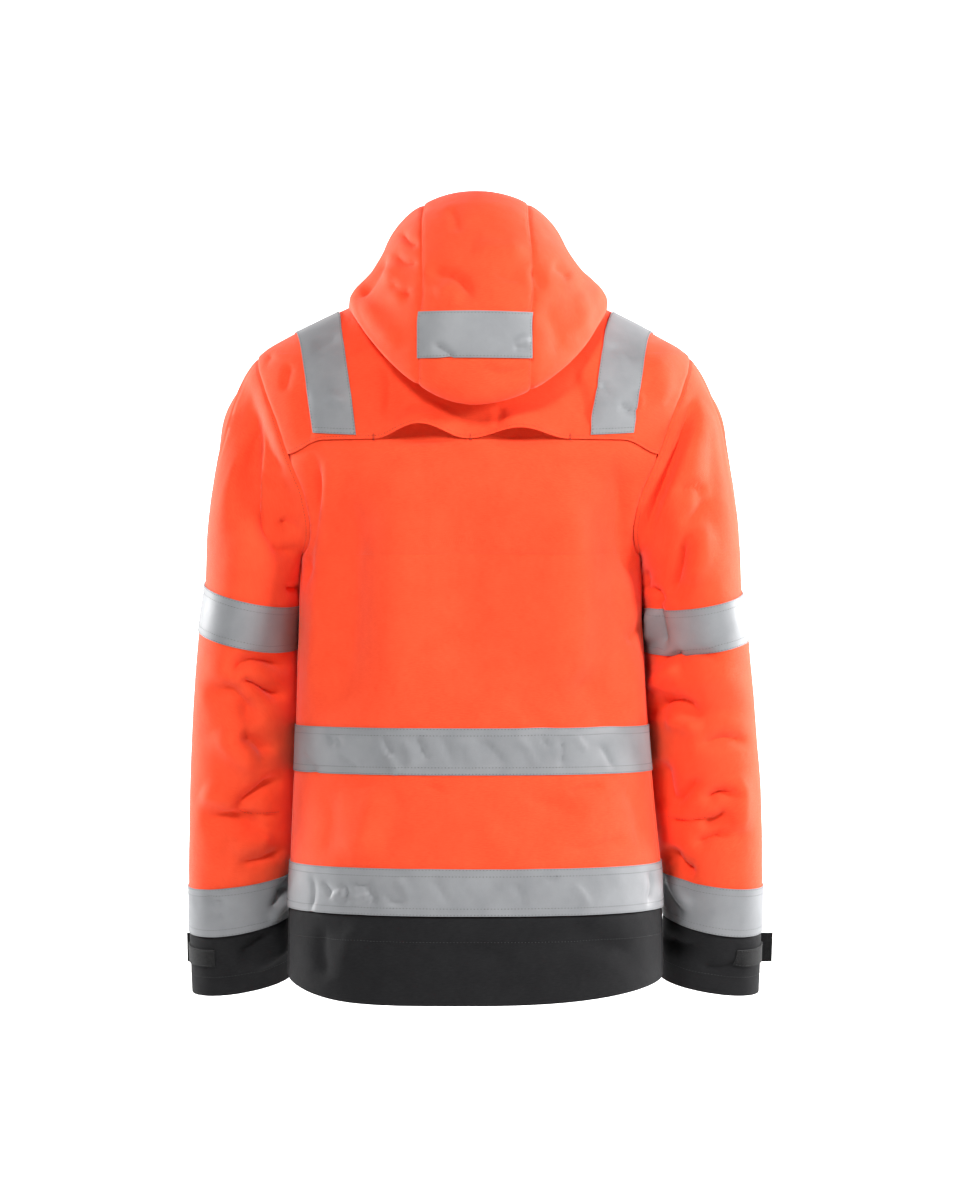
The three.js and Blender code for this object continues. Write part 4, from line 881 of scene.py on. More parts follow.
def both_sides(name, material, net, **more):
    cloth(f"{name}_left", material, net, **more)
    cloth(f"{name}_right", material, net.mirrored(), **more)


def fronts():
    rows = np.concatenate([LOWER, armhole_rows(math.pi, 0)[1:], SHOULDER])

    def height_of(z, angle):
        return np.where(z <= HEM_SEAM_Z + SEAM, z, row_height(z, angle))

    net = front_net(rows, FRONT_COLUMNS, height_of)
    both_sides("front", "orange_cloth", net, seams=[FIRST_ROW, LAST_ROW, FIRST_COLUMN])


HEM_LONG = 95


def hems():
    share = 1 - shares(HEM_LONG, False, True)
    gap = SEAM / 2 / body_at(HEM_SEAM_Z)[0]

    def height_of(down, angle):
        return mix(HEM_SEAM_Z - SEAM / 2, hem_height(angle), down)

    back = back_net(share, BACK_COLUMNS, height_of, SIDE_SEAM + gap + 0 * share)
    front = front_net(share, FRONT_COLUMNS, height_of, SIDE_SEAM - gap + 0 * share)
    cloth("back_hem", "black_cloth", back, [LAST_ROW, FIRST_COLUMN, LAST_COLUMN])
    both_sides("front_hem", "black_cloth", front, seams=[LAST_ROW, FIRST_COLUMN])


def body_bands():
    for name, top, low_gap in (("waist", WAIST_TOP, 0), ("low", LOW_TOP, SEAM / 2)):
        rows = mix(top - BAND_WIDE + low_gap, top, shares(BAND_WIDE, False, False))
        cloth(f"{name}_band_back", "reflective_tape", back_net(rows, BACK_COLUMNS, level), **TAPE)
        both_sides(f"{name}_band", "reflective_tape", front_net(rows, FRONT_COLUMNS, level), **TAPE)


# Shoulder tapes, over the shoulder from the yoke seam at the back to the same height at the front

STRAP_CORE_Z = -150
STRAP_BACK, STRAP_FRONT = math.radians(101), math.radians(-111)
STRAP_INNER, STRAP_OUTER = (151, 124), (196, 170)  # at the shoulder's top and at the ends
STRAP_LONG, STRAP_WIDE, STRAP_STEPS = 330, 46, (3.4, 4)
NECK_HOLE_Z, RAY_REACH = 9, 220.0


def on_body_from(x, ray):
    """The surface point that a ray of the side view meets at a distance x from the middle."""
    low, high = np.zeros(x.shape), np.full(x.shape, RAY_REACH)
    for _ in range(HALVINGS):
        middle = (low + high) / 2
        y, z = middle * np.sin(ray), STRAP_CORE_Z + middle * np.cos(ray)
        inside = inside_section(x, y, z) & (z < NECK_HOLE_Z)
        low, high = np.where(inside, middle, low), np.where(inside, high, middle)
    y, z = low * np.sin(ray), STRAP_CORE_Z + low * np.cos(ray)
    return body(angle_at_y(y, z), z)


def shoulder_tapes():
    along, across = STRAP_STEPS
    ray = mix(STRAP_BACK, STRAP_FRONT, shares(STRAP_LONG, False, False, along))[:, None]
    share = np.minimum(1, np.abs(ray) / STRAP_BACK)
    inner, outer = mix(*STRAP_INNER, share), mix(*STRAP_OUTER, share)
    x = mix(inner, outer, shares(STRAP_WIDE, False, False, across)[None])
    net = Net(on_body_from(x, ray + 0 * x), -1)
    both_sides("shoulder_tape", "reflective_tape", net, **{**TAPE, "start": WALL + TAPE_LIFT})


# The collar

COLLAR_HALF, COLLAR_BACK, COLLAR_FRONT = 71, 53, 80
COLLAR_BACK_Z, COLLAR_SIDE_Z, COLLAR_FRONT_Z = 58, 48, 12
COLLAR_AROUND, COLLAR_AROUND_STEP, COLLAR_HIGH, COLLAR_STEP = 400, 3.6, 62, 4


def neckline_height(angle):
    return row_height(0.0, angle)


FRONT_NECK = angle_at_x(ZIP_HALF, neckline_height(-QUARTER), -1)
FRONT_TOP = -math.acos(ZIP_HALF / COLLAR_HALF)


def collar_point(angle, share):
    height = neckline_height(angle)
    normal = body_normal(angle, height)
    up = point(0, 0, 1)
    in_hole = unit(up - normal * normal[..., 2:3])
    turned = (angle - QUARTER) * (FRONT_TOP - QUARTER) / (FRONT_NECK - QUARTER) + QUARTER
    deep = np.sin(turned)
    reach = np.where(deep > 0, COLLAR_BACK, COLLAR_FRONT)
    top_z = mix(COLLAR_SIDE_Z, np.where(deep > 0, COLLAR_BACK_Z, COLLAR_FRONT_Z), np.abs(deep))
    top = point(COLLAR_HALF * np.cos(turned), reach * deep, top_z)
    base = body(angle, height) + in_hole * SEAM
    return mix(base, top, share[..., None])


def collar():
    around = shares(COLLAR_AROUND, False, False, COLLAR_AROUND_STEP)
    angle = mix(FRONT_NECK, math.pi - FRONT_NECK, around)[None]
    share = shares(COLLAR_HIGH, True, False, COLLAR_STEP)[:, None]
    net = Net(collar_point(angle + 0 * share, share + 0 * angle))
    cloth("collar", "orange_cloth", net, [FIRST_ROW], rumple=0.2)


# The sleeves: each section's height, middle and half width, middle and half depth, tilts and twist

SLEEVE_ROWS = [
    (1, -312, 238.75, 51.25, -2, 80, 0.42, -0.05, 0.1),
    (2, -343, 240.0, 52.0, -8, 78, 0.21, -0.12, 0.12),
    (3, -393, 246.3, 52.8, -16, 75, 0.19, -0.12, 0.15),
    (4, -470, 250.3, 56.7, -26, 69, 0.08, -0.06, 0.15),
    (5, -560, 256.3, 57.9, -38, 61, 0, -0.04, 0.12),
    (6, -657, 261.6, 56.2, -52, 52, -0.13, -0.13, 0.08),
    (7, -706, 262.8, 55.3, -60, 47, -0.17, -0.24, 0.05),
    (8, -777, 262.5, 54, -72, 42, -0.15, -0.18, 0.05),
]
sleeve_at = curve_of(SLEEVE_ROWS)
RIGHT_SLEEVE_AWAY = 3.5  # how far the right sleeve's inner side stands off the body above the cuff
AWAY_GROWS, AWAY_ENDS = (4.6, 6), (7, 8)
LEAN_UP, LEAN_TILT = 3, 0.035  # how much higher and more tilted the left sleeve is at its top
CAP_START, CAP_SWELL, CAP_END = 0.23, 0.12, 0.33  # the reach of the curve from the armhole to the sleeve
SLEEVE_FOLDS = [
    (1, 250, -110, 215, -330, 17, 4.5),
    (1, 240, -130, 262, -300, 14, -4.5),
    (1, 215, -445, 285, -425, 13, 4.0),
    (1, 225, -478, 300, -462, 12, -4.0),
    (1, 262, -500, 215, -545, 14, 3.5),
    (1, 225, -590, 300, -605, 14, -3.5),
    (-1, 300, -420, 215, -455, 15, -4.0),
    (-1, 305, -470, 220, -500, 14, 4.0),
    (-1, 225, -560, 300, -590, 15, -3.5),
    (-1, 245, -120, 225, -300, 20, -4.5),
]


def sleeve_section(turn, s, lean):
    mid_z, mid_x, half_x, mid_y, half_y, tilt_x, tilt_y, twist = sleeve_at(s)
    away = RIGHT_SLEEVE_AWAY * smooth(s, *AWAY_GROWS) * (1 - smooth(s, *AWAY_ENDS)) if lean < 0 else 0
    across, deep = (half_x - away / 2) * np.cos(turn), half_y * np.sin(turn)
    upper = 1 - smooth(s, 3, 6)
    tilt_x = tilt_x + LEAN_TILT * lean * upper
    z = mid_z + LEAN_UP * lean * upper + tilt_x * across + tilt_y * deep
    return point(mid_x + away / 2 + across + twist * deep, mid_y + deep, z)


def armhole_point(turn):
    y, z = armhole_yz(turn)
    return body(angle_at_y(y, z), z)


def into_armhole(turn):
    y, z = armhole_yz(turn)
    along = armhole_point(turn + 0.02) - armhole_point(turn - 0.02)
    across = unit(np.cross(along, body_normal(angle_at_y(y, z), z)))
    inward = (across * point(0, -y, ARM_MIDDLE_Z - z)).sum(-1, keepdims=True)
    return np.where(inward < 0, -across, across)


def sleeve(turn, s, lean):
    """The sleeve's surface: s from 0 at the armhole to 1 at the first free section, then down the table."""
    free = sleeve_section(turn, np.maximum(s, 1), lean)
    y, z = armhole_yz(turn)
    start, into = armhole_point(turn), into_armhole(turn)
    end = sleeve_section(turn, 1 + 0 * s, lean)
    reach = np.linalg.norm(end - start, axis=-1, keepdims=True)
    down = unit(sleeve_section(turn, 1.1 + 0 * s, lean) - end)
    normal = body_normal(angle_at_y(y, z), z)
    first = start + into * SEAM
    swell = (CAP_SWELL * (1 - np.cos(turn)) / 2)[..., None]
    second = first + into * reach * CAP_START + normal * reach * swell
    third = end - down * reach * CAP_END
    t = np.minimum(s, 1)[..., None]
    cap = first * (1 - t) ** 3 + second * 3 * (1 - t) ** 2 * t + third * 3 * (1 - t) * t**2 + end * t**3
    spot = np.where((s >= 1)[..., None], free, cap)
    lift = fold_lift(SLEEVE_FOLDS, np.sin(turn), spot[..., 0], spot[..., 2], *SLEEVE_FOLDS_FACING)
    lift = lift * smooth(s, 0, 0.3)
    return spot + point(np.cos(turn), np.sin(turn), 0) * lift[..., None]


def s_at_height(z):
    s = np.linspace(1, 8, 400)
    return np.interp(-z, -sleeve_at(s)[0], s)


def sleeve_net(s, lean, columns=104, first=0.0, last=None):
    closed = last is None
    if closed:
        turn = 2 * math.pi * np.arange(columns) / columns
    else:
        turn = np.linspace(first, last, columns)
    turn, s = np.broadcast_arrays(turn[None], s[:, None])
    net = Net(sleeve(turn, s, lean), -1, closed)
    return net if lean > 0 else net.mirrored()


# Places along the sleeve, as in its table, and turns round it in columns of the cuff
SLEEVE_END_S, CUFF_END_S = 6.996, 8
CUFF_EDGE_S, CUFF_REST_S, CUFF_STEP = [7.004, 7.02, 7.04], 7.06, 3.4
CAP_ROWS = np.concatenate([[0, 0.006, 0.014], np.linspace(0.03, 1, 44)])
BANDS_S = {"upper": (2, 3), "lower": (6, SLEEVE_END_S)}
LOOP_S, TAB_S, SMALL_STEP = (7.24, 7.52), (7.38, 7.8), 2
COLUMN = math.pi / 11
LOOP_TO, LOOP_COLUMNS = 4 * COLUMN, 24
TAB_FROM, TAB_BEFORE, TAB_TO = -7 * COLUMN, -5 * COLUMN, -4 * COLUMN
TAB_COLUMNS = 16
TAB_FREE, TAB_FREE_MORE, TAB_THICK, LOOP_THICK = 48, 4.5, 2.0, 1.4
TAB_OUTWARD = 0.2  # how much the free part of the tab points away from the cuff


def steps_between(first, last, step=STEP):
    """Sleeve steps at an even spacing in height."""
    heights = sleeve_at(np.array([first, last], float))[0]
    count = max(2, round(abs(heights[1] - heights[0]) / step))
    return s_at_height(np.linspace(heights[0], heights[1], count + 1))


def sleeves():
    tape = {**TAPE, "creases": SLEEVE_ALL}
    main = np.concatenate([CAP_ROWS, steps_between(1, SLEEVE_END_S)[1:]])
    cuff = np.concatenate([CUFF_EDGE_S, steps_between(CUFF_REST_S, CUFF_END_S, CUFF_STEP)])
    for side, lean in (("left", 1), ("right", -1)):
        cloth(f"sleeve_{side}", "orange_cloth", sleeve_net(main, lean), [FIRST_ROW, LAST_ROW], SLEEVE_ALL)
        for where, ends in BANDS_S.items():
            band = sleeve_net(steps_between(*ends), lean)
            cloth(f"sleeve_band_{where}_{side}", "reflective_tape", band, **tape)
        cloth(f"cuff_{side}", "black_cloth", sleeve_net(cuff, lean), [FIRST_ROW], SLEEVE_ALL)
        loop = sleeve_net(steps_between(*LOOP_S, SMALL_STEP), lean, LOOP_COLUMNS, 0, LOOP_TO)
        cloth(f"cuff_loop_{side}", "hook_and_loop", loop, **{**tape, "thick": LOOP_THICK})
        cuff_tab(side, lean)


def cuff_tab(side, lean):
    s = steps_between(*TAB_S, SMALL_STEP)
    turn, rows = np.broadcast_arrays(np.linspace(TAB_FROM, TAB_TO, TAB_COLUMNS)[None], s[:, None])
    sewn = sleeve(turn, rows, lean)
    before, last = sleeve(turn[:, :1] * 0 + TAB_BEFORE, rows[:, :1], lean), sewn[:, -1:]
    level_out = np.array([1, 1, 0])
    normal = Net(sewn, -1).normals()[:, -1:]
    onward = unit(unit((last - before) * level_out) + TAB_OUTWARD * unit(normal * level_out))
    length = TAB_FREE - TAB_FREE_MORE * lean
    free = last + onward * (length * np.linspace(0, 1, TAB_COLUMNS + 1)[1:])[None, :, None]
    net = Net(np.concatenate([sewn, free], axis=1), -1)
    net = net if lean > 0 else net.mirrored()
    more = {**TAPE, "thick": TAB_THICK, "creases": SLEEVE_ALL, "rumple": 0.3}
    cloth(f"cuff_tab_{side}", "hook_and_loop", net, **more)


# The hood lies in a pouch on the back. Its sections run from the neck seam round its fold and over the crown
# to the face edge. Each has the y and z of its middle, its half width, the y and z of its side, its end at
# the face, the seam's x, how its drop is rounded, and how flat it is as far as the seam.
hood_at = curve_of(
    [
        (0, 70.5, -7, 83, 0, 4, 56, -83, -34, 38, 2.2, 0),
        (1, 108, -58, 113, 12, -13, 57, -85, -34, 48, 2.2, 0),
        (2, 141, -112, 131, 28, -24, 60, -88, -31, 55, 2.2, 0),
        (3, 161, -141, 139, 40, -31, 62, -90, -28, 58, 2.2, 0),
        (4, 174, -122, 138, 46, -22, 63, -91, -26, 59, 2.1, 0.5),
        (5, 177, -95, 133, 47, -13, 64, -92, -24, 59, 2.1, 0.9),
        (6, 169, -46, 124, 44, -3, 64, -92, -22, 59, 1.7, 0.9),
        (7, 150, 4, 116, 36, 5, 64, -92, -20, 59, 1.4, 0.5),
        (8, 120, 46, 110, 25, 8, 64, -92, -18, 58, 1.2, 0.2),
        (9, 84, 79, 104, 8, 8, 63, -91, -16, 57, 0.95, 0),
        (10, 46, 95, 101, -10, 6, 62, -90, -14, 56, 0.88, 0),
        (11, 10, 94, 96, -28, 2, 61, -89, -12, 55, 0.88, 0),
        (12, -24, 82, 91, -44, -2, 60, -88, -10, 53, 1.1, 0),
    ]
)
HOOD_SEAM, HOOD_SIDE = 0.3, 0.72
HOOD_LEAN_LOW, HOOD_LEAN_HIGH = -1.5, 1.5
HOOD_RIGHT_ROUNDER = 0.68
ROUNDER_ENDS, CLEAR_GROWS, LEAN_GROWS, LEAN_TURNS = (4, 6.5), (0, 0.7), (0, 2), (6, 9)  # sections
HOOD_SEAM_SHARE = 0.001
HOOD_AROUND, HOOD_ROW, PATCH_LIFT = 620, 0.085, 0.5
HOOD_CLEAR, HOOD_SOFT, HOOD_FREE = (3, 5.5), 2.5, 20  # how it rests on the back
HOOD_SIDE_FLAT = (0.3, 0.5)  # in metres: laid flat, a side is no strip along its net
HOOD_SECTIONS, PATCH_ROWS = 12, (5, 6, 0.06)


def hood(across, k):
    mid_y, mid_z, half, side_y, side_z, end_x, end_y, end_z, seam_x, power, flat = hood_at(k)
    side, share = np.where(across < 0, -1, 1), np.abs(across)
    seam_turn = np.arcsin(seam_x / half)
    in_seam = np.arcsin(np.clip(seam_x * share / HOOD_SEAM / half, -1, 1))
    past_seam = mix(seam_turn, QUARTER, (share - HOOD_SEAM) / (HOOD_SIDE - HOOD_SEAM))
    turn = np.where(share <= HOOD_SEAM, in_seam, np.minimum(past_seam, QUARTER))
    past = np.maximum(0, turn - seam_turn) / (QUARTER - seam_turn) * QUARTER
    rounder = np.where(side < 0, mix(HOOD_RIGHT_ROUNDER, 1, smooth(k, *ROUNDER_ENDS)), 1)
    drop = np.maximum(0, np.cos(mix(turn, past, flat))) ** (power * rounder)
    back = point(half * np.sin(turn), mix(side_y, mid_y, np.cos(turn)), mix(side_z, mid_z, drop))
    turn = np.clip((share - HOOD_SIDE) / (1 - HOOD_SIDE), 0, 1) * QUARTER
    fore = point(
        mix(end_x, half, np.cos(turn)), mix(side_y, end_y, np.sin(turn)), mix(side_z, end_z, 1 - np.cos(turn))
    )
    spot = np.where((share <= HOOD_SIDE)[..., None], back, fore)
    floor = top_of_body(spot[..., 0], spot[..., 1]) + 2 * WALL + mix(*HOOD_CLEAR, smooth(k, *CLEAR_GROWS))
    over = np.isfinite(floor)
    floor = np.where(over, floor, 0)
    gap = np.clip((spot[..., 2] - floor) / HOOD_SOFT, -50, HOOD_FREE)
    lifted = floor + HOOD_SOFT * np.log1p(np.exp(gap))
    spot[..., 2] = np.where(over & (gap < HOOD_FREE), lifted, spot[..., 2])
    lean = mix(HOOD_LEAN_LOW * smooth(k, *LEAN_GROWS), HOOD_LEAN_HIGH, smooth(k, *LEAN_TURNS))
    spot[..., 0] = side * spot[..., 0] + lean
    return spot


def hood_net(first, last, k):
    length = HOOD_AROUND * abs(last - first) / 2
    across = mix(first, last, shares(length, abs(first) < 1, abs(last) < 1))
    across, k = np.broadcast_arrays(across[None], k[:, None])
    return Net(hood(across, k), -1)


def hood_rows(first, last, step=HOOD_ROW):
    return np.linspace(first, last, round((last - first) / step) + 1)


def hood_pieces():
    k = hood_rows(0, HOOD_SECTIONS)
    seams = [FIRST_ROW, FIRST_COLUMN, LAST_COLUMN]
    more = {"creases": HOOD_ALL, "held": "folded", "rumple": 0.7}
    side = HOOD_SEAM + HOOD_SEAM_SHARE
    fan = {"flat": HOOD_SIDE_FLAT}
    cloth("hood_centre", "orange_cloth", hood_net(-HOOD_SEAM, HOOD_SEAM, k), seams, **more)
    cloth("hood_left", "orange_cloth", hood_net(side, 1, k), [FIRST_ROW, FIRST_COLUMN], **more, **fan)
    cloth("hood_right", "orange_cloth", hood_net(-1, -side, k), [FIRST_ROW, LAST_COLUMN], **more, **fan)
    patch = hood_net(-HOOD_SEAM, HOOD_SEAM, hood_rows(*PATCH_ROWS))
    more.update(held="laid", start=WALL + NEAR_LIFT + PATCH_LIFT, thick=TAPE_THICK)
    cloth("hood_patch", "reflective_tape", patch, **more)


# The zip, its tape and teeth, from the hem to the collar's top

ZIP_TAPE_HALF, ZIP_FROM, ZIP_TO = ZIP_HALF - 0.7, -0.2, 1.2
ZIP_LONG, ZIP_STEP, ZIP_END = 760, 6, 1.98  # 1 is the neck seam, and 2 the collar's top
TOOTH_PITCH, TOOTH_LONG, TOOTH_PAST, TOOTH_WIDE = 1.9, 2.3, 0.6, 1.5
TOOTH_SUNK, TOOTH_HIGH, TOOTH_TIP = 0.3, 0.5, 0.7
TEETH_ROW, TEETH_FROM, TEETH_TO = 1500, 0.004, 1.976


def front_path(share):
    low, high = hem_height(-QUARTER), neckline_height(-QUARTER)
    z = mix(low, high, np.minimum(share, 1))
    beside = angle_at_x(ZIP_HALF, z, -1)
    fold = body(beside, z)[..., 1] - ring_point(beside, z)[..., 1]
    on_body = point(0, -body_at(z)[2] + fold, z)
    angle = FRONT_NECK + 0 * share
    on_collar = collar_point(angle, np.maximum(share - 1, 0)) * np.array([0, 1, 1])
    return np.where((share <= 1)[..., None], on_body, on_collar)


def make_zip():
    share = np.linspace(0, ZIP_END, round(ZIP_LONG * ZIP_END / ZIP_STEP))[:, None]
    share, across = np.broadcast_arrays(share, np.array([[-ZIP_TAPE_HALF, ZIP_TAPE_HALF]]))
    net = Net(front_path(share) + point(across, 0, 0))
    more = {"start": ZIP_FROM, "thick": ZIP_TO - ZIP_FROM, "held": "laid"}
    cloth("zip", "zip_plastic", net, creases=((), ()), rumple=0.0, **more)
    count = round(TEETH_ROW / TOOTH_PITCH)
    share = np.linspace(TEETH_FROM, TEETH_TO, count)
    place = swayed(front_path(share))
    down = unit(np.gradient(place, axis=0))
    out = unit(np.cross(down, point(1, 0, 0)))
    out = out * np.where(out[:, 1:2] > 0, -1, 1)
    side = np.where(np.arange(count) % 2, 1, -1)
    corners = []
    plan = [(-TOOTH_PAST, -1), (TOOTH_LONG, -1), (TOOTH_LONG, 1), (-TOOTH_PAST, 1)]
    for height, narrow in ((ZIP_TO - TOOTH_SUNK, 1), (ZIP_TO + TOOTH_HIGH, TOOTH_TIP)):
        for across, along in plan:
            x = (side * across * narrow)[:, None] * point(1, 0, 0)
            corners.append(place + x + down * (along * narrow * TOOTH_WIDE / 2) + out * height)
    corners = np.stack(corners, axis=1)
    box = np.array([(4, 5, 6, 7), (0, 1, 5, 4), (1, 2, 6, 5), (2, 3, 7, 6), (3, 0, 4, 7), (3, 2, 1, 0)])
    faces = np.where(side[:, None, None] > 0, box, box[:, ::-1]) + 8 * np.arange(count)[:, None, None]
    mesh = bpy.data.meshes.new("zip_teeth")
    mesh.from_pydata((corners.reshape(-1, 3) * MM).tolist(), [], faces.reshape(-1, 4).tolist())
    add_object("zip_teeth", mesh, "zip_plastic")


# Materials

# Where a pattern starts and ends between its dark and its light colour
RAMP_LOW, RAMP_LATE, RAMP_HIGH = 0.3, 0.35, 0.7
WEAVE_PITCH = 0.8


class Finish:
    """A material being made: its nodes and links."""

    def __init__(self, name):
        self.name = name
        self.material = bpy.data.materials.new(f"{name}_finish")
        self.material.use_nodes = True
        self.tree = self.material.node_tree
        self.shader = self.tree.nodes["Principled BSDF"]

    def node(self, kind, **inputs):
        made = self.tree.nodes.new(kind)
        for name, value in inputs.items():
            made.inputs[name].default_value = value
        return made

    def link(self, output, target):
        self.tree.links.new(output, target)

    def coordinates(self, kind):
        return self.node("ShaderNodeTexCoord").outputs[kind]

    def noise(self, scale, detail, roughness, stretch=None, kind="Object"):
        texture = self.node("ShaderNodeTexNoise", Scale=scale, Detail=detail, Roughness=roughness)
        place = self.coordinates(kind)
        if stretch:
            mapping = self.node("ShaderNodeMapping", Scale=stretch)
            self.link(place, mapping.inputs["Vector"])
            place = mapping.outputs["Vector"]
        self.link(place, texture.inputs["Vector"])
        return texture.outputs["Fac"]

    def math(self, operation, a, b=None):
        made = self.node("ShaderNodeMath")
        made.operation = operation
        for i, value in enumerate((a, b)):
            if isinstance(value, (int, float)):
                made.inputs[i].default_value = value
            elif value is not None:
                self.link(value, made.inputs[i])
        return made.outputs[0]

    def blend(self, a, share, b):
        """A share of one pattern and the rest of another."""
        return self.math("ADD", self.math("MULTIPLY", a, share), self.math("MULTIPLY", b, 1 - share))

    def ramp(self, factor, dark, light, low=RAMP_LOW):
        """Colours, or greys where they are numbers, from dark to light over a pattern's middle range."""
        made = self.node("ShaderNodeValToRGB")
        for stop, place, colour in zip(made.color_ramp.elements, (low, RAMP_HIGH), (dark, light)):
            stop.position = place
            stop.color = (*np.broadcast_to(colour, 3).tolist(), 1)
        self.link(factor, made.inputs["Fac"])
        return made.outputs["Color"]

    def weave(self, pitch):
        """A plain weave: threads across and along the cloth, over and under in turn."""
        split = self.node("ShaderNodeSeparateXYZ")
        self.link(self.coordinates("UV"), split.inputs[0])
        turns = math.pi / (pitch * MM)
        across = self.math("SINE", self.math("MULTIPLY", split.outputs["X"], turns))
        along = self.math("SINE", self.math("MULTIPLY", split.outputs["Y"], turns))
        return self.math("MULTIPLY", across, along)

    def bump(self, height, distance, strength, after=None):
        made = self.node("ShaderNodeBump", Distance=distance, Strength=strength)
        self.link(height, made.inputs["Height"])
        if after is not None:
            self.link(after, made.inputs["Normal"])
        return made.outputs["Normal"]

    def set(self, **values):
        for key, value in values.items():
            self.shader.inputs[key.replace("_", " ")].default_value = value

    def done(self, normal=None, colour=None, roughness=None):
        for value, name in ((normal, "Normal"), (colour, "Base Color"), (roughness, "Roughness")):
            if value is not None:
                self.link(value, self.shader.inputs[name])
        MATERIALS[self.name] = self.material


# Patterns: scale, detail and roughness of their noise, and for some how it is stretched along the cloth
MOTTLING, SLACK, THREADING = (38, 3, 0.6), (60, 4, 0.55), (1, 2, 0.7, (150, 800, 1), "UV")
PATCHES, WRINKLES, BEADS = (30, 3, 0.6), (90, 3, 0.5), (1, 1, 0.5, (1400, 1400, 1), "UV")
PILE, GRAIN, WEAR, PLY, PALE = (900, 2, 0.6), (700, 2, 0.5), (420, 3, 0.6), (2600, 2, 0.5), (4, 3, 0.5)
MOTTLING_SHARE, BEADS_SHARE = 0.35, 0.35

# Bumps: height in metres and strength
SLACK_BUMP, WEAVE_BUMP = (0.0018, 0.45), (0.00012, 0.6)
WRINKLE_BUMP, BEAD_BUMP = (0.0005, 0.5), (0.00008, 0.4)
PILE_BUMP, GRAIN_BUMP, WEAR_BUMP, PLY_BUMP = (0.0006, 0.8), (0.0002, 0.5), (0.0001, 0.4), (0.0001, 0.6)

# Colours and roughness where a pattern is dark and where it is light
ORANGE = [(0.93, 0.063, 0.018), (1.0, 0.097, 0.033)]
BLACK = [(0.011, 0.011, 0.012), (0.019, 0.019, 0.02)]
SILVER = [(0.22, 0.227, 0.237), (0.285, 0.292, 0.303)]
PILE_BLACK = [(0.006, 0.006, 0.006), (0.019, 0.019, 0.02)]
PLASTIC = [(0.008, 0.008, 0.009), (0.014, 0.014, 0.015)]
METAL = [(0.03, 0.03, 0.032), (0.055, 0.055, 0.058)]
SHELL_ROUGH, TAPE_ROUGH, PLASTIC_ROUGH, METAL_ROUGH = (0.72, 0.86), (0.44, 0.58), (0.45, 0.6), (0.28, 0.44)
THREADS = {"orange": (0.5, 0.035, 0.012), "grey": (0.13, 0.13, 0.135), "black": (0.02, 0.02, 0.021)}
THREAD_DARK = 0.75
STAGE_LOOKS = {"floor": (0, 0.6), "backdrop": (0.85, 0.86)}  # glow and grey
STAGE_SPREAD = 0.02


def shell_cloth(name, colours, sheen, gloss):
    made = Finish(name)
    mottled, thread = made.noise(*MOTTLING), made.noise(*THREADING)
    colour = made.ramp(made.blend(mottled, MOTTLING_SHARE, thread), *colours)
    normal = made.bump(made.noise(*SLACK), *SLACK_BUMP)
    normal = made.bump(made.weave(WEAVE_PITCH), *WEAVE_BUMP, normal)
    made.set(Sheen_Weight=sheen, Sheen_Roughness=0.45, Specular_IOR_Level=gloss)
    made.done(normal, colour, made.ramp(thread, *SHELL_ROUGH))


def tape_finish():
    made = Finish("reflective_tape")
    beads, patches = made.noise(*BEADS), made.noise(*PATCHES)
    colour = made.ramp(made.blend(beads, BEADS_SHARE, patches), *SILVER)
    normal = made.bump(made.noise(*WRINKLES), *WRINKLE_BUMP)
    normal = made.bump(beads, *BEAD_BUMP, normal)
    made.set(Specular_IOR_Level=0.3)
    made.done(normal, colour, made.ramp(patches, *TAPE_ROUGH, RAMP_LATE))


def grained(name, noise, colours, bump, roughness=None, low=RAMP_LATE, **values):
    """A material with one pattern in its colour, its bump and, if it has a range of them, its roughness."""
    made = Finish(name)
    grain = made.noise(*noise)
    made.set(**values)
    rough = made.ramp(grain, *roughness) if roughness else None
    made.done(made.bump(grain, *bump), made.ramp(grain, *colours, low), rough)


def make_materials():
    shell_cloth("orange_cloth", ORANGE, sheen=0.12, gloss=0.15)
    shell_cloth("black_cloth", BLACK, sheen=0.02, gloss=0.08)
    tape_finish()
    pile = {"Sheen_Weight": 0.1, "Sheen_Roughness": 0.5, "Specular_IOR_Level": 0.2, "Roughness": 0.95}
    grained("hook_and_loop", PILE, PILE_BLACK, PILE_BUMP, **pile)
    grained("zip_plastic", GRAIN, PLASTIC, GRAIN_BUMP, PLASTIC_ROUGH, RAMP_LOW)
    grained("zip_metal", WEAR, METAL, WEAR_BUMP, METAL_ROUGH, Metallic=0.85)
    for name, light in THREADS.items():
        dark = tuple(THREAD_DARK * each for each in light)
        grained(f"thread_{name}", PLY, (dark, light), PLY_BUMP, Roughness=0.7)
    for name, (glow, grey) in STAGE_LOOKS.items():
        stage = Finish(f"pale_{name}")
        stage.done(None, stage.ramp(stage.noise(*PALE), grey, grey + STAGE_SPREAD))
        stage.set(Roughness=0.9, Emission_Color=(1, 1, 1, 1), Emission_Strength=glow)


# Stitches: each a small tapered thread lying on the cloth

STITCHES = {}
STITCH_PITCH, STITCH_SUNK, STITCH_BELLY = 3.6, 0.15, 0.3
FACING, NEVER = 0.05, 1e6  # cloth that the camera sees, and a distance beyond every other


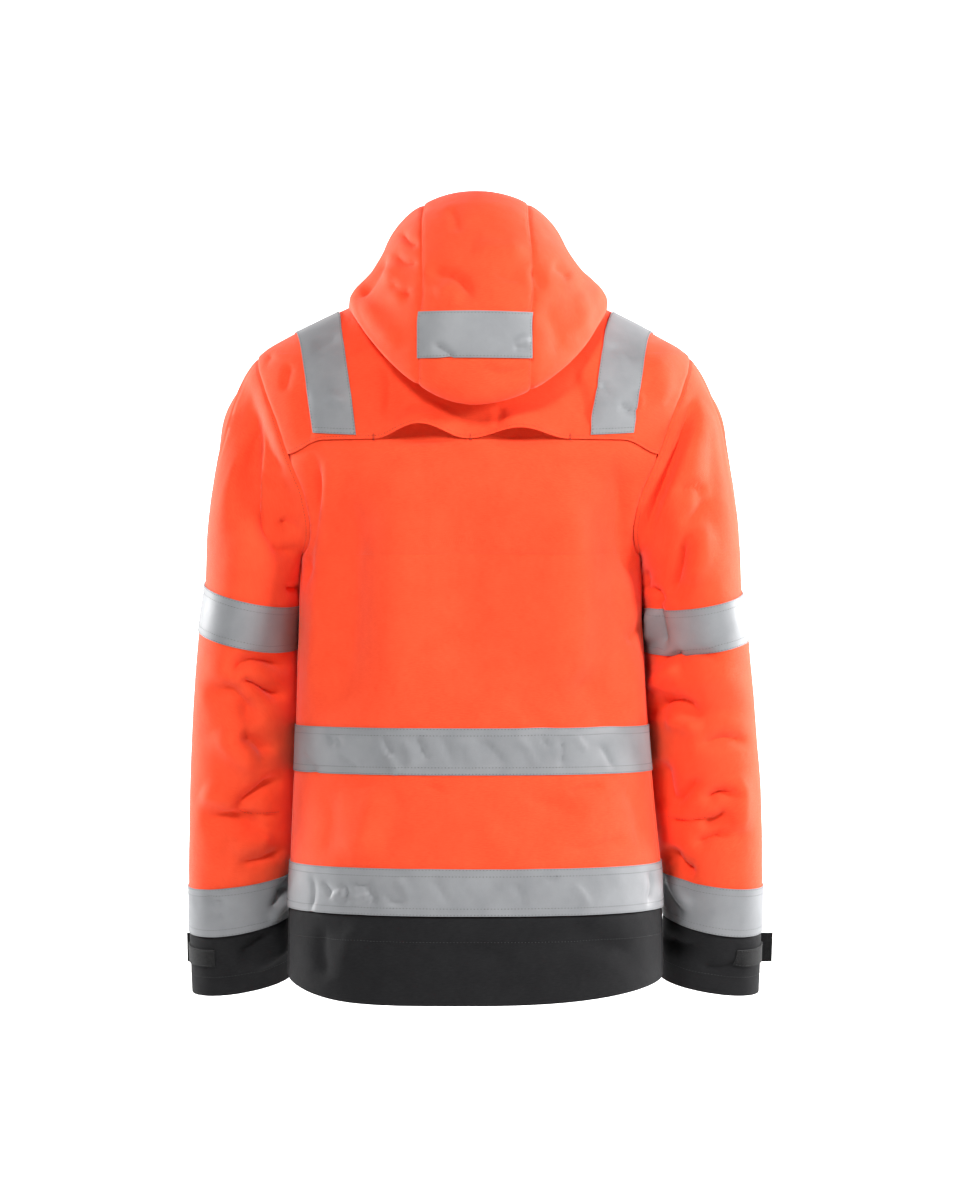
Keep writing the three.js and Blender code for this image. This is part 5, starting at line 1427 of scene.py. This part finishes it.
def line_at(name, axis, away, from_last=False):
    """A line on a piece's face at a distance from its first or last row or column."""
    piece = PIECES[name]
    spot, normals = piece["outer"], piece["normals"]
    if axis == 1:
        spot, normals = spot.swapaxes(0, 1), normals.swapaxes(0, 1)
    if from_last:
        spot, normals = spot[::-1], normals[::-1]
    length = length_along(spot, 0)
    k = np.clip((length < away).sum(0) - 1, 0, len(spot) - 2)
    c = np.arange(spot.shape[1])
    share = ((away - length[k, c]) / (length[k + 1, c] - length[k, c]))[:, None]
    line = mix(spot[k, c], spot[k + 1, c], share)
    facing = mix(normals[k, c], normals[k + 1, c], share)
    if axis == 0 and piece["closed"]:
        line, facing = np.vstack([line, line[:1]]), np.vstack([facing, facing[:1]])
    return line, unit(facing)


def line_through(name, path):
    """A line on a piece's face through places of the picture."""
    spot, normals = PIECES[name]["outer"], PIECES[name]["normals"]
    seen = np.stack(seen_place(spot), axis=-1)
    hidden = np.where(normals[..., 1] > FACING, 0, NEVER)
    along_row, along_column = np.gradient(spot, axis=0), np.gradient(spot, axis=1)
    seen_row, seen_column = np.gradient(seen, axis=0), np.gradient(seen, axis=1)
    line, facing = [], []
    for place in rounded_path(path):
        k = np.unravel_index((((seen - place) ** 2).sum(-1) + hidden).argmin(), hidden.shape)
        rows, columns = np.linalg.solve(np.stack([seen_row[k], seen_column[k]], axis=-1), place - seen[k])
        line.append(spot[k] + along_row[k] * rows + along_column[k] * columns)
        facing.append(normals[k])
    return np.array(line), np.array(facing)


def stitch(kind, line, normals, long=2.5, wide=1.0, high=0.45, trim=1.0):
    """Stitches along a line of points, sunk a little into the cloth."""
    length = np.append(0, np.cumsum(np.linalg.norm(np.diff(line, axis=0), axis=1)))
    starts = np.arange(trim, length[-1] - long - trim, STITCH_PITCH)
    if not len(starts):
        return

    def at(distance, values):
        return np.stack([np.interp(distance, length, values[:, i]) for i in range(3)], axis=-1)

    a, m, b = at(starts, line), at(starts + long / 2, line), at(starts + long, line)
    n = unit(at(starts + long / 2, normals))
    side = unit(np.cross(n, b - a)) * (wide / 2)
    ends = a - n * STITCH_SUNK, b - n * STITCH_SUNK
    shape = [ends[0], m + side, m + n * high, m - side, ends[1], m - n * STITCH_BELLY]
    STITCHES.setdefault(kind, []).append(np.stack(shape, axis=1))


def make_stitches():
    faces = np.array([(0, 1, 2), (0, 2, 3), (4, 2, 1), (4, 3, 2), (0, 5, 1), (0, 3, 5), (4, 1, 5), (4, 5, 3)])
    for kind, groups in STITCHES.items():
        shapes = np.concatenate(groups)
        corners = shapes.reshape(-1, 3)
        every = (faces[None] + 6 * np.arange(len(shapes))[:, None, None]).reshape(-1, 3)
        mesh = bpy.data.meshes.new(f"stitches_{kind}")
        mesh.from_pydata((corners * MM).tolist(), [], every.tolist())
        mesh.shade_smooth()
        add_object(f"stitches_{kind}", mesh, f"thread_{kind}")


SIDES = ("left", "right")
DARTS = {
    "left": [(239, 810), (247, 813), (264, 813), (281, 812)],
    "right": [(668, 817), (678, 819), (693, 819), (707, 817)],
}
BAR_TACKS = [(374, 434), (470.7, 434), (570.8, 434)]
TACK_HALF, TACK_STITCHES = 2.2, 7
TACK = {"long": 4, "wide": 0.9, "high": 0.7, "trim": 0}

# Seams: across rows (0) or columns (1), how far from the edge, and whether from the last one
BAND_SEAMS = [(0, 1.2, False), (0, 8, False), (0, 1.2, True), (0, 8, True)]
STRAP_SEAMS = [(1, 1.4, False), (1, 1.4, True), (0, 1.4, False), (0, 6, False)]
PATCH_SEAMS = [(0, 2, False), (0, 2, True), (1, 2, False), (1, 2, True)]
LOOP_SEAMS = [(0, 1.4, False), (0, 1.4, True)]
COLLAR_SEAMS = [(0, 5, False), (0, 5, True)]
CENTRE_SEAMS = [(1, 3, False), (1, 3, True)]
HEM_SEAMS, CUFF_SEAMS = [(0, 28, True)], [(0, 22, True)]
YOKE_SEAMS, SLEEVE_SEAMS, FRONT_SEAMS = [(0, 3, False)], [(0, 4, False)], [(1, 7, True)]


def seam(kind, name, places):
    for axis, away, from_last in places:
        stitch(kind, *line_at(name, axis, away, from_last))


def sew():
    for height in ("waist", "low"):
        for part in ("back", *SIDES):
            seam("grey", f"{height}_band_{part}", BAND_SEAMS)
    for side in SIDES:
        for where in BANDS_S:
            seam("grey", f"sleeve_band_{where}_{side}", BAND_SEAMS)
        seam("grey", f"shoulder_tape_{side}", STRAP_SEAMS)
        seam("black", f"cuff_{side}", CUFF_SEAMS)
        seam("black", f"cuff_loop_{side}", LOOP_SEAMS)
    seam("grey", "hood_patch", PATCH_SEAMS)
    seam("orange", "back_yoke", YOKE_SEAMS)
    for side in SIDES:
        seam("orange", f"sleeve_{side}", SLEEVE_SEAMS)
        seam("orange", f"front_{side}", FRONT_SEAMS)
        stitch("orange", *line_through(f"sleeve_{side}", DARTS[side]))
    seam("orange", "collar", COLLAR_SEAMS)
    for x, y in BAR_TACKS:
        for step in range(TACK_STITCHES):
            path = [(x - TACK_HALF, y + step), (x + TACK_HALF, y + step)]
            stitch("orange", *line_through("back_yoke", path), **TACK)
    for name in ("back_hem", "front_hem_left", "front_hem_right"):
        seam("black", name, HEM_SEAMS)
    seam("orange", "hood_centre", CENTRE_SEAMS)


# Light, floor and camera

FLOOR_Z, FLOOR_FRONT, FLOOR_BACK, STAGE_HALF = -1.45, 6.0, -2.2, 7  # in metres, as everything here
BEND_RADIUS, BEND_STEPS, BACKDROP_HIGH = 1.6, 12, 5
WORLD_LIGHT = 0.12
LIT_PLACE = (0, 0, -0.35)
LIGHTS = {  # place, size and power
    "key": ((-2.9, 1.45, 0.9), 0.6, 108),
    "left_edge": ((2.9, -1.3, 0.3), 1.0, 160),
    "fill": ((1.0, 2.8, 1.5), 0.6, 86),
    "right_edge": ((-2.9, -1.3, 0.3), 1.0, 190),
}
SENSOR = 24
PICTURE_HIGH, PICTURE_MIDDLE_X = 1200, 480


def area_light(name, place, size, power):
    light = bpy.data.lights.new(name, "AREA")
    light.shape, light.size, light.energy = "SQUARE", size, power
    obj = bpy.data.objects.new(name, light)
    bpy.context.scene.collection.objects.link(obj)
    obj.location = place
    way = np.array(LIT_PLACE) - np.array(place)
    down = math.acos(-way[2] / np.linalg.norm(way))
    obj.rotation_euler = (down, 0, math.atan2(way[1], way[0]) - QUARTER)


def stage_sheet(name, profile):
    """A part of the floor or the backdrop, from its side view."""
    spots = [(x, y, z) for y, z in profile for x in (-STAGE_HALF, STAGE_HALF)]
    faces = [(2 * i, 2 * i + 1, 2 * i + 3, 2 * i + 2) for i in range(len(profile) - 1)]
    mesh = bpy.data.meshes.new(name)
    mesh.from_pydata(spots, [], faces)
    mesh.shade_smooth()
    mesh.materials.append(MATERIALS[f"pale_{name}"])
    obj = bpy.data.objects.new(name, mesh)
    bpy.context.scene.collection.objects.link(obj)


def studio():
    curve = []
    for i in range(BEND_STEPS + 1):
        bend = i / BEND_STEPS * QUARTER
        back, up = BEND_RADIUS * math.sin(bend), BEND_RADIUS * (1 - math.cos(bend))
        curve.append((FLOOR_BACK - back, FLOOR_Z + up))
    curve.append((FLOOR_BACK - BEND_RADIUS, FLOOR_Z + BACKDROP_HIGH))
    stage_sheet("floor", [(FLOOR_FRONT, FLOOR_Z), (FLOOR_BACK, FLOOR_Z)])
    stage_sheet("backdrop", curve)

    world = bpy.data.worlds.new("studio")
    bpy.context.scene.world = world
    world.use_nodes = True
    background = world.node_tree.nodes["Background"]
    background.inputs["Color"].default_value = (1, 1, 1, 1)
    background.inputs["Strength"].default_value = WORLD_LIGHT
    for name, light in LIGHTS.items():
        area_light(name, *light)
    bpy.context.scene.view_settings.view_transform = "Standard"
    bpy.context.scene.view_settings.look = "None"


def camera():
    made = bpy.data.cameras.new("camera")
    made.sensor_fit = "VERTICAL"
    made.sensor_height = SENSOR
    made.lens = SENSOR * VIEW_DISTANCE / (PICTURE_HIGH * PIXEL)
    obj = bpy.data.objects.new("camera", made)
    obj.location = ((PICTURE_X - PICTURE_MIDDLE_X) * PIXEL * MM, VIEW_DISTANCE * MM, VIEW_Z * MM)
    obj.rotation_euler = (QUARTER, 0, math.pi)
    bpy.context.scene.collection.objects.link(obj)
    bpy.context.scene.camera = obj


camera()
make_materials()
back_panel()
back_yoke()
fronts()
hems()
body_bands()
shoulder_tapes()
collar()
sleeves()
hood_pieces()
make_zip()
sew()
make_stitches()
for node in ("zip_slider", "zip_pull"):
    for slot in bpy.data.objects[node].material_slots:
        slot.material = MATERIALS["zip_metal"]
studio()
